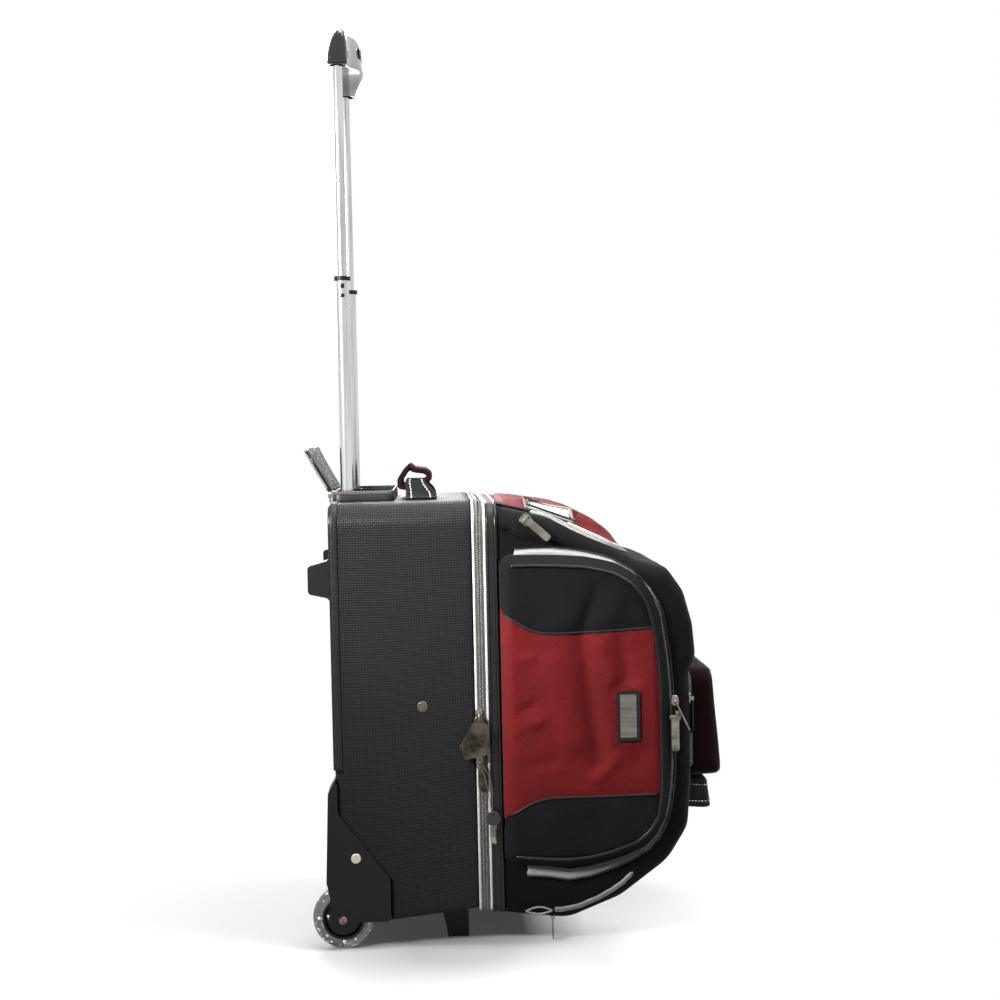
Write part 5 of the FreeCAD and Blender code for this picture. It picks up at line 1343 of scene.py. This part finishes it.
def makeGarage():
    low, high = nodeBox("garage_wall")
    zipLow, zipHigh = nodeBox("garage_zipper")
    r = garage["round"]
    plan = [(low[0], low[1], r), (high[0], low[1], r), (high[0], high[1], r),
            (low[0], high[1], r)]
    outer = rounded(plan, 180)
    inward = leftOf(directions(outer, True))
    wall, base, top = garage["wall"], low[2], high[2]
    rows = [spaced(*(outer + inward * inset).T, z)
            for inset, z in ((0, base), (0, base + 1), (0.2, top - 1.2), (0.9, top),
                             (wall - 0.6, top), (wall, top - 1.2), (wall, base))]
    place(gridPiece("garage_wall_vinyl", rows, "bandSatin", closeRows=True,
                    closeColumns=True), "shell", "garage_wall")
    x, y = (outer + inward * garage["zipIn"]).T
    tape = sweep("tape", spaced(x, y, (zipLow[2] + zipHigh[2]) / 2 - 0.3),
                 spaced(*-inward.T, 0.0), flatProfile(*garage["zipTape"]), "greyTape",
                 closed=True)
    teeth = pods("teeth", spaced(x, y, zipHigh[2] - 0.2), (0, 0, 1), garage["zipPitch"],
                 "garageTooth", "coil", closed=True)
    place(joined("garage_zipper_run", [tape, teeth]), "shell", "garage_zipper")


# The cover is a thin pillow: its plan is a flat with two round corners, its thickness
# swells inwards from the edge. It is worked out flat and then turned up and back.
def makeGarageCover():
    low, high = nodeBox("garage_wall")
    hingeX, hingeZ = low[0] - garage["hingeBack"], high[2] + garage["hingeUp"]
    half, reach = garage["coverHalf"], garage["reach"]
    turn = math.radians(garage["fold"])

    def folded(points):
        u, y, w = np.moveaxis(np.asarray(points, float), -1, 0)
        return spaced(hingeX + u * math.cos(turn) - w * math.sin(turn), y,
                      hingeZ + u * math.sin(turn) + w * math.cos(turn))

    edge = rounded([(3, -half, 2), (reach, -half, garage["coverRound"]),
                    (reach, half, garage["coverRound"]), (3, half, 2)], 200)
    middle = np.array([(reach + 3) / 2, 0])
    rows = []
    for share, lift in garage["profile"]:
        u, y = (middle + (edge - middle) * share).T
        wave = garage["ruffle"] * np.sin(y / garage["waves"]) * smoothStep(20, reach, u)
        bow = wave * smoothStep(0.3, 1.0, share) - garage["sag"] * (u / reach) ** 2
        rows.append(spaced(u, y, garage["coverThick"] / 2 * lift + bow))
    pad = gridPiece("garage_cover_pad", folded(rows), "shellVinyl", closeColumns=True,
                    clean=False)
    place(cleaned(pad), "garage_cover", "handle_cover", pad=0.4)

    # Its free edge carries a cord and, inside that, a silver zipper.
    line = rows[garage["edgeRing"]]
    line = line[line[:, 0] > 3.5]
    start = int(np.argmax(np.linalg.norm(np.diff(line, axis=0), axis=1)))
    line = evenly(np.roll(line, -(start + 1), axis=0) if start > 2 else line, 170)
    facing = np.array([-math.sin(turn), 0, math.cos(turn)])
    cord = sweep("edge", folded(line), facing, roundProfile(garage["cord"]), "bandVinyl")
    path = (folded(line + ([*middle, 0] - line) * garage["tapeIn"])
            + facing * garage["tapeOut"])
    tape = sweep("tape", path, facing, flatProfile(*garage["coverTape"]), "silverTape")
    teeth = pods("teeth", path + facing * 0.6, facing, garage["zipPitch"], "coverTooth",
                 "silverCoil")
    place(joined("garage_cover_trim", [cord, tape, teeth]), "garage_cover",
          slot="handle_cover")
    leaf = folded([[(u, -half, 0), (u, half, 0)] for u in (0, garage["leaf"])])
    place(thickened(gridPiece("garage_hinge", leaf, "bandSatin", clean=False),
                    garage["leafThick"], 0.0), "garage_cover", slot="handle_cover")


makeGarage()
makeGarageCover()

# The carry handle on top: webbing with reflective stitches that rises from two sewn feet
# and passes, folded narrower, through a padded wrap with red edges.
topHandle = {"foot": 118.0, "lift": 92.0, "bend": 66.0, "rise": 20.0, "width": 38.0,
             "narrow": 25.0, "back": 6.0, "gripHalf": 57.0, "thickness": 2.8,
             "wrapWall": 6.0, "seam": 1.3, "edging": 0.8, "stitchPitch": 5.0,
             "wrap": [(-22, -9, 5), (-22, 2, 8), (-15, 13, 8), (-7, 21, 3), (-2, 16, 3),
                      (12, 14, 6), (19, 9, 5), (19, 2, 5), (13, -5, 6), (3, -8, 10),
                      (-10, -11, 10)]}


def makeTopHandle():
    low, high = nodeBox("top_handle_strap")
    mid = (low[0] + high[0]) / 2
    deck = low[2] + topHandle["thickness"] / 2 + 0.2
    foot, lift, bend = topHandle["foot"], topHandle["lift"], topHandle["bend"]
    line = rounded([(-foot, deck, 0), (-lift, deck, 20), (-bend, deck + topHandle["rise"], 22),
                    (bend, deck + topHandle["rise"], 22), (lift, deck, 20), (foot, deck, 0)],
                   120, closed=False)
    raised = smoothStep(0, topHandle["rise"], line[:, 1] - deck)
    path = spaced(mid - topHandle["back"] * raised, *line.T)
    widths = topHandle["width"] + (topHandle["narrow"] - topHandle["width"]) * raised
    out = spaced(0.0, *leftOf(directions(line)).T)
    above = topHandle["thickness"] / 2 + 0.1
    parts = [sweep("strap", path, out, strapProfiles(widths, topHandle["thickness"]), "webbing")]
    for side in (-1, 1):
        parts.append(pods("stitches", path + spaced(side * widths * 0.3, 0.0, 0.0), out,
                          topHandle["stitchPitch"], "handleStitch", "reflective", lift=above))
    for end in (-1, 1):
        box = rounded([(mid - 15, end * (foot - 22), 2), (mid + 15, end * (foot - 22), 2),
                       (mid + 15, end * (foot - 3), 2), (mid - 15, end * (foot - 3), 2)], 60)
        parts.append(pods("box_stitches", spaced(*box.T, deck), (0, 0, 1), 3.4,
                          "boxStitch", "thread", closed=True, lift=above))
    place(joined("top_handle_webbing", parts), "shell", "top_handle_strap")

    makeWrap(np.array([mid - topHandle["back"], deck + topHandle["rise"]]))


# The wrap: a sleeve whose section is a soft drop round the strap. It swells in the middle
# of its length by the root of a cosine, and creases softly.
def makeWrap(centre):
    outer = rounded(topHandle["wrap"], 64) + centre
    normal = leftOf(directions(outer, True))
    if ((outer - centre) * normal).sum() > 0:
        normal = -normal
    inner = outer + normal * topHandle["wrapWall"]
    half = topHandle["gripHalf"]
    y = np.linspace(-half, half, 25)
    rows = []
    for ring, spanY, swell in ((outer, y, 1), (inner, y[::-1], 0)):
        for at in spanY:
            grow = swell * (math.cos(at / half * math.pi / 2) ** 0.5
                            + 0.6 * creases(ring[:, 1], at, 9, 40, 5))
            spot = ring - normal * np.reshape(grow, (-1, 1)) * 0.8
            rows.append(spaced(spot[:, 0], at, spot[:, 1]))
    place(gridPiece("top_handle_wrap", rows, "padNylon", closeRows=True,
                    closeColumns=True), "shell", "top_handle_grip", pad=0.5)
    edges = [sweep("edge", spaced(outer[:, 0], end * half, outer[:, 1]), (0, end, 0),
                   roundProfile(topHandle["edging"], 8), "redBinding", closed=True)
             for end in (-1, 1)]
    crest = outer[np.argmax(outer[:, 1])]
    path = spaced(crest[0], np.linspace(-half, half, 30), crest[1])
    edges.append(sweep("seam", path, (0, 0, 1), roundProfile(topHandle["seam"], 8),
                       "redBinding"))
    place(joined("top_handle_edging", edges), "shell", slot="top_handle_grip")


# The webbing handle on the front: sewn down at both ends, bowed out between them.
frontHandle = {"out": 16.0, "droop": 6.0, "lower": 17.0, "bend": 27.0, "thickness": 3.0,
               "stitchPitch": 5.0, "stitchSide": 10.0, "footWidth": 19, "footThick": 2.4,
               "footLow": 38, "footHigh": 2}


def makeFrontHandle():
    low, high = nodeBox("front_handle")
    half, out = high[1], high[0] + frontHandle["out"]
    face = nodeBox("lid_shell")[1][0] + 0.4
    middle = (low[2] + high[2]) / 2
    bend, pitch = frontHandle["bend"], frontHandle["stitchPitch"]
    line = rounded([(face - 5, -half + 1, 3), (face + 2, -half + 3, 4),
                    (out - 1.6, -half + bend, 16), (out - 1.6, half - bend, 16),
                    (face + 2, half - 3, 4), (face - 5, half - 1, 3)], 130, closed=False)
    sag = frontHandle["droop"] * smoothStep(face, out, line[:, 0])
    path = spaced(*line.T, middle - frontHandle["lower"] - sag)
    outward = spaced(*-leftOf(directions(line)).T, 0.12)
    parts = [sweep("strap", path, outward,
                   flatProfile(high[2] - low[2] - 2, frontHandle["thickness"]), "webbing")]
    for side in (-1, 1):
        parts.append(pods("stitches", path, outward, pitch, "handleStitch", "reflective",
                          side=side * frontHandle["stitchSide"],
                          lift=frontHandle["thickness"] / 2 + 0.1))
    place(joined("front_handle_webbing", parts), "lid", "front_handle")
    feet = []
    z = np.linspace(middle - frontHandle["footLow"], middle + frontHandle["footHigh"], 16)
    for side in (-1, 1):
        foot = spaced(face + 1.4, side * (half - 12.0), z)
        feet.append(sweep("foot", foot, (1, 0, 0), flatProfile(
            frontHandle["footWidth"], frontHandle["footThick"]), "webbing"))
        feet.append(pods("foot_stitches", foot, (1, 0, 0), pitch, "footStitch",
                         "reflective", side=side * 5.0, lift=1.3))
    place(joined("front_handle_feet", feet), "lid", slot="front_handle")


# The zipper that lets the base panel drop: along both lower edges and across the front,
# with an opened lens behind its slider.
baseZip = {"line": [(72, -2), (80, -2.5), (100, 1), (123, 10), (140, 19), (153, 28),
                    (163, 37.5)], "openFrom": 38.0, "openTo": 69.0, "openUp": 4.6,
           "openDown": 3.45}


def makeBaseZip():
    low, high = nodeBox("lid_shell")
    half = high[1]
    near = evenly(baseZip["line"], 40) + [low[0], lid["base"]]
    side = spaced(near[:, 0], -half - 0.5, near[:, 1] + 2.5)
    across = spaced(near[-1, 0] + 2.0, np.linspace(6 - half, half - 6, 40), near[-1, 1] - 0.5)
    path = evenly(np.concatenate([side, across, side[::-1] * [1, -1, 1]]), 220)
    aside = smoothStep(half - 12, half - 1, np.abs(path[:, 1]))
    outward = spaced(0.5 * (1 - aside), aside * np.sign(path[:, 1]),
                     -0.85 * (1 - aside) - 0.05)
    parts = zipRun(path, outward, 5.6, "silverTape", "thinTooth")
    t = np.linspace(0, 1, 24)
    x = low[0] + baseZip["openFrom"] + (baseZip["openTo"] - baseZip["openFrom"]) * t
    for bulge in (-baseZip["openDown"], baseZip["openUp"]):
        line = spaced(x, -half - 0.9, lid["base"] - 0.8 + bulge * np.sin(math.pi * t))
        parts.append(sweep("lens", line, (0, -1, 0), flatProfile(2.2, 1.4), "silverTape"))
    place(joined("base_zipper", parts), "lid", slot="lid_sliders")


makeTopHandle()
makeFrontHandle()
makeBaseZip()
print("garage, handles and base zipper ready")


# The card window on the hump's right shoulder: a grey woven ribbon round the card, with a
# black bead along its outer and its inner edge. Each bead is a closed tube round the four
# corners of the shoulder's sloping plane, which falls from the crest towards the side.
cardWindow = {"ribbon": 5.0, "bead": 0.9, "beadRound": 1.6}


def makeCardWindow():
    corners, up = windowPlane()
    middle = corners.mean(axis=0)
    inset = cardWindow["ribbon"]
    ahead, over = ((corners[k] - corners[0]) / np.linalg.norm(corners[k] - corners[0])
                   for k in (1, 3))

    def shrunk(inward):  # the four corners moved in, on the plane
        u, v = np.array([(-1, 1, 1, -1), (-1, -1, 1, 1)])[:, :, None] * inward
        return corners - u * ahead - v * over

    rows = [evenly(shrunk(inward) + up * rise, 96, closed=True) for inward, rise in
            ((0, -0.9), (0, 0.1), (0.8, 0.5), (inset - 0.8, 0.5), (inset, 0.1), (inset, -0.9))]
    parts = [gridPiece("ribbon", rows, "greyRibbon", closeRows=True, closeColumns=True)]
    for inward in (0.2, inset - 0.2):
        u, v = rounded([(k @ ahead, k @ over, cardWindow["beadRound"])
                        for k in shrunk(inward) - middle], 80).T[:, :, None]
        parts.append(sweep("bead", middle + u * ahead + v * over + up * 0.5, up,
                           roundProfile(cardWindow["bead"], 8), "bandSatin", closed=True))
    place(joined("card_window_frame", parts), "top_pocket", "id_window_frame")


# Each ball sits in a foam cup covered with grey knit: a bowl, a straight neck to the mouth
# and a flat frame round it, turned as one profile and squared off at the frame's edge.
ballCup = {"bore": 110.0, "wall": 4.0, "mouthRound": 3.0, "count": 96, "baseRound": 2}


def makeBallCup(name, shoulder):
    low, high = nodeBox(name)
    bore, wall, lip = ballCup["bore"], ballCup["wall"], ballCup["mouthRound"]
    flat = ballCup["baseRound"]
    middle = (low[2] + high[2]) / 2
    centreX = low[0] + wall + bore
    mouth = high[0]
    turn = np.linspace(0, 2 * math.pi, ballCup["count"], endpoint=False)
    outline = rounded([(low[1], low[2], flat), (high[1], low[2], flat),
                       (high[1], high[2], shoulder), (low[1], high[2], shoulder)], 400)
    bearing = np.arctan2(outline[:, 1] - middle, outline[:, 0])
    order = np.argsort(bearing)
    far = np.hypot(outline[:, 0], outline[:, 1] - middle)[order]
    edge = np.interp((turn + math.pi) % (2 * math.pi) - math.pi, bearing[order], far,
                     period=2 * math.pi)
    rows = []

    def ring(x, radius):
        rows.append(spaced(x, radius * np.cos(turn), middle + radius * np.sin(turn)))

    for angle in np.linspace(0.01, math.pi / 2, 16):
        ring(centreX - bore * math.cos(angle), bore * math.sin(angle))
    for angle in np.radians((0, 30, 60, 90)):
        ring(mouth - lip * (1 - math.sin(angle)), bore + lip * (1 - math.cos(angle)))
    for share in (0.25, 0.5, 0.75, 1.0):
        ring(mouth, bore + lip + (edge - 0.6 - bore - lip) * share)
    ring(mouth - 0.8, edge)
    ring(mouth - wall, edge)
    ring(mouth - wall, bore + wall)
    for angle in np.linspace(math.pi / 2, 0.01, 12):
        ring(centreX - (bore + wall) * math.cos(angle), (bore + wall) * math.sin(angle))
    cup = gridPiece(name + "_lining", rows, "knitLining", closeColumns=True,
                    clean=False)
    cleaned(cup, filled=True)
    place(cup, "shell", name, pad=0.9)


# A flat tongue of the zipper hangs behind the padlock. The key hangs there too, by a thin
# wire loop: a dark round bow with a hole, then a silver blade cut along its front edge.
keySet = {"tongue": (10.5, 1.4), "side": -184.2, "top": 212.0, "foot": 184.0,
          "shares": (0.7, 0.9, 1, 1, 1, 1, 1, 1, 1, 1, 0.95, 0.8),
          "hang": (-38.5, -188.2, 215.0), "bow": (-25.0, -188.2, 151.0), "radius": 8.8,
          "thick": 2.0, "hole": 1.8,
          "holeRise": 4.6, "blade": (4.3, 1.6), "tip": 122.0, "wire": 0.5,
          "cuts": (0, 0, 0, 0, 0.8, 2.2, 1.4, 0.6, 1.8, 2.6, 1.2, 0.8, 2.0, 1.0, 0.4, 2.4)}


def makeTongue():
    width, thick = keySet["tongue"]
    shares = np.array(keySet["shares"])
    path = spaced(nodeBox("rear_zipper_tape")[1][0] - 1.0, keySet["side"],
                  np.linspace(keySet["top"], keySet["foot"], len(shares)))
    place(sweep("zipper_tongue", path, (0, -1, 0), strapProfiles(width * shares, thick),
                "tarnished"), "shell", slot="shell_sliders")


def makeKey():
    bow = np.array(keySet["bow"])
    hang = np.array(keySet["hang"])
    radius, half = keySet["radius"], keySet["thick"] / 2
    turn = np.linspace(0, 2 * math.pi, 48, endpoint=False)
    eye = bow + (-1.5, 0, keySet["holeRise"])
    hole = keySet["hole"]
    rows = []
    for middle, reach, depth in ((bow, radius - 1.3, -half), (bow, radius - 0.5, -half),
                                 (bow, radius, 0.4 - half), (bow, radius, half - 0.4),
                                 (bow, radius - 0.5, half), (bow, radius - 1.3, half),
                                 (eye, hole + 0.3, half), (eye, hole, half),
                                 (eye, hole, -half), (eye, hole + 0.3, -half)):
        rows.append(spaced(middle[0] + reach * np.cos(turn), middle[1] + depth,
                           middle[2] + reach * np.sin(turn)))
    pieces = [gridPiece("bow", rows, "keyPlastic", closeRows=True,
                        closeColumns=True)]
    width, thick = keySet["blade"]
    cuts = np.array(keySet["cuts"], float)
    z = np.linspace(bow[2] - radius + 1.0, keySet["tip"], len(cuts))
    pieces.append(sweep("blade", spaced(bow[0] - cuts / 2, bow[1], z), (0, -1, 0),
                        strapProfiles(2 * width - cuts, thick), "nickel"))
    for bulge in (2.0, 9.0):
        t = np.linspace(0, 1, 24)[:, None]
        way = hang + (eye + (0, -half - 0.4, 0.6) - hang) * t
        way = way + np.array((1, 0, 0.35)) * bulge * np.sin(math.pi * t) * (1 - 0.5 * t)
        pieces.append(sweep("wire", way, (0, -1, 0), roundProfile(keySet["wire"], 8),
                            "nickel"))
    place(joined("key_on_wire", pieces), "key", "key")


makeCardWindow()
makeBallCup("ball_cup_lower", 2.0)
makeBallCup("ball_cup_upper", 25.0)
makeTongue()
makeKey()
print("card window, ball cups, tongue and key ready")


# The pull-up grip is a bar bowed forwards, with a domed section: a long rise from the rear
# edge to the crown, a short fall to the front and a flat underside. Over half a turn of the
# phase, x leaves the crown by its reach times |cos|^(2/power) and z leaves the underside by
# the height times |sin|^(2/power). The bow forwards is a raised cosine of y.
grip = {"depth": 24.0, "notch": 4.0, "endDrop": 9.5, "crown": 0.7, "rearPower": 2.0,
        "frontPower": 3.0, "round": 8.0, "count": 40, "stations": 72, "gap": 0.8,
        "socketTop": 2.5, "socketFoot": 20, "softEdge": 1.2}


def makeGrip():
    low, high = nodeBox("grip_body")
    half, height = high[1], high[2] - low[2]
    phase = np.linspace(math.pi, 0, grip["count"])
    rows = []
    for y in half * np.sin(np.linspace(-math.pi / 2, math.pi / 2, grip["stations"])):
        bend = 0.5 + 0.5 * math.cos(math.pi * y / half)
        base = low[2] - grip["endDrop"] * (1 - bend)
        rear = low[0] + grip["notch"] * bend
        front = low[0] + grip["depth"] + (high[0] - low[0] - grip["depth"]) * bend
        crown = rear + (front - rear) * grip["crown"]
        behind = phase > math.pi / 2
        power = np.where(behind, grip["rearPower"], grip["frontPower"])
        reach = np.where(behind, crown - rear, front - crown)
        x = crown + np.sign(np.cos(phase)) * reach * np.abs(np.cos(phase)) ** (2 / power)
        z = base + height * np.abs(np.sin(phase)) ** (2 / power)
        soft = grip["softEdge"]
        z[0], z[-1] = base + soft, base + soft
        x = np.concatenate([x, np.linspace(front - soft, rear + soft, 8)])
        z = np.concatenate([z, np.full(8, base)])
        inEnd = max(0.0, (abs(y) - half + grip["round"]) / grip["round"])
        shrink = 0.4 + 0.6 * math.sqrt(max(0.0, 1 - inEnd ** 2))
        middle = ((rear + front) / 2, base + 0.4 * height)
        rows.append(spaced(middle[0] + (x - middle[0]) * shrink, y,
                           middle[1] + (z - middle[1]) * shrink))
    caps = [np.repeat(rows[end].mean(axis=0)[None], len(rows[end]), axis=0) for end in (0, -1)]
    dome = gridPiece("grip_dome", np.array([caps[0]] + rows + [caps[1]]), "glossBlack",
                     closeColumns=True)
    tubeLow, tubeHigh = nodeBox("lower_tube_fittings")
    bore = (tubeHigh[0] - tubeLow[0]) / 2
    for side in (-1, 1):  # a socket under each end takes the collar when the grip is down
        way = spaced(tubeLow[0] + bore, side * (tubeHigh[1] - bore),
                     low[2] - np.linspace(grip["socketFoot"], grip["socketTop"], 8))
        cutAway(dome, sweep("socket", way, (0, -1, 0), roundProfile(bore + grip["gap"], 40),
                            "glossBlack"))
    place(dome, "upper_stage", "grip_body")


def dress(piece, finish):  # a CAD piece given one material in all its slots
    if not piece.material_slots:
        piece.data.materials.append(finishes[finish])
    for held in piece.material_slots:
        held.material = finishes[finish]


makeGrip()
print("grip ready")

dressed = {
    "guardPlastic": "wheel_guard_right wheel_guard_left bumpers feet",
    "hardNylon": "outer_tube_bushes tube_base lower_tube_fittings upper_tube_plugs axle_spacers"
                 " wheel_hub_right wheel_hub_left back_liner cup_divider release_button"
                 " front_pull",
    "satinSilver": "grip_insert", "polishedTube": "lower_tubes upper_tubes",
    "anodised": "outer_tubes release_link",
    "bearingSteel": "bearings_right bearings_left button_spring",
    "darkSteel": "axles", "rivets": "shell_fasteners", "wornNickel": "padlock",
    "nickel": "shell_sliders lid_sliders side_slider_right side_slider_left side_pull_right"
              " side_pull_left top_pull base_pull garage_pull",
    "glitter": "tyre_right tyre_left", "rubber": "badge_frame", "badgeMetal": "badge_face",
    "paperCard": "id_card"}
for finish, names in dressed.items():
    for name in names.split():
        dress(nodes[name], finish)
print("solid parts finished")
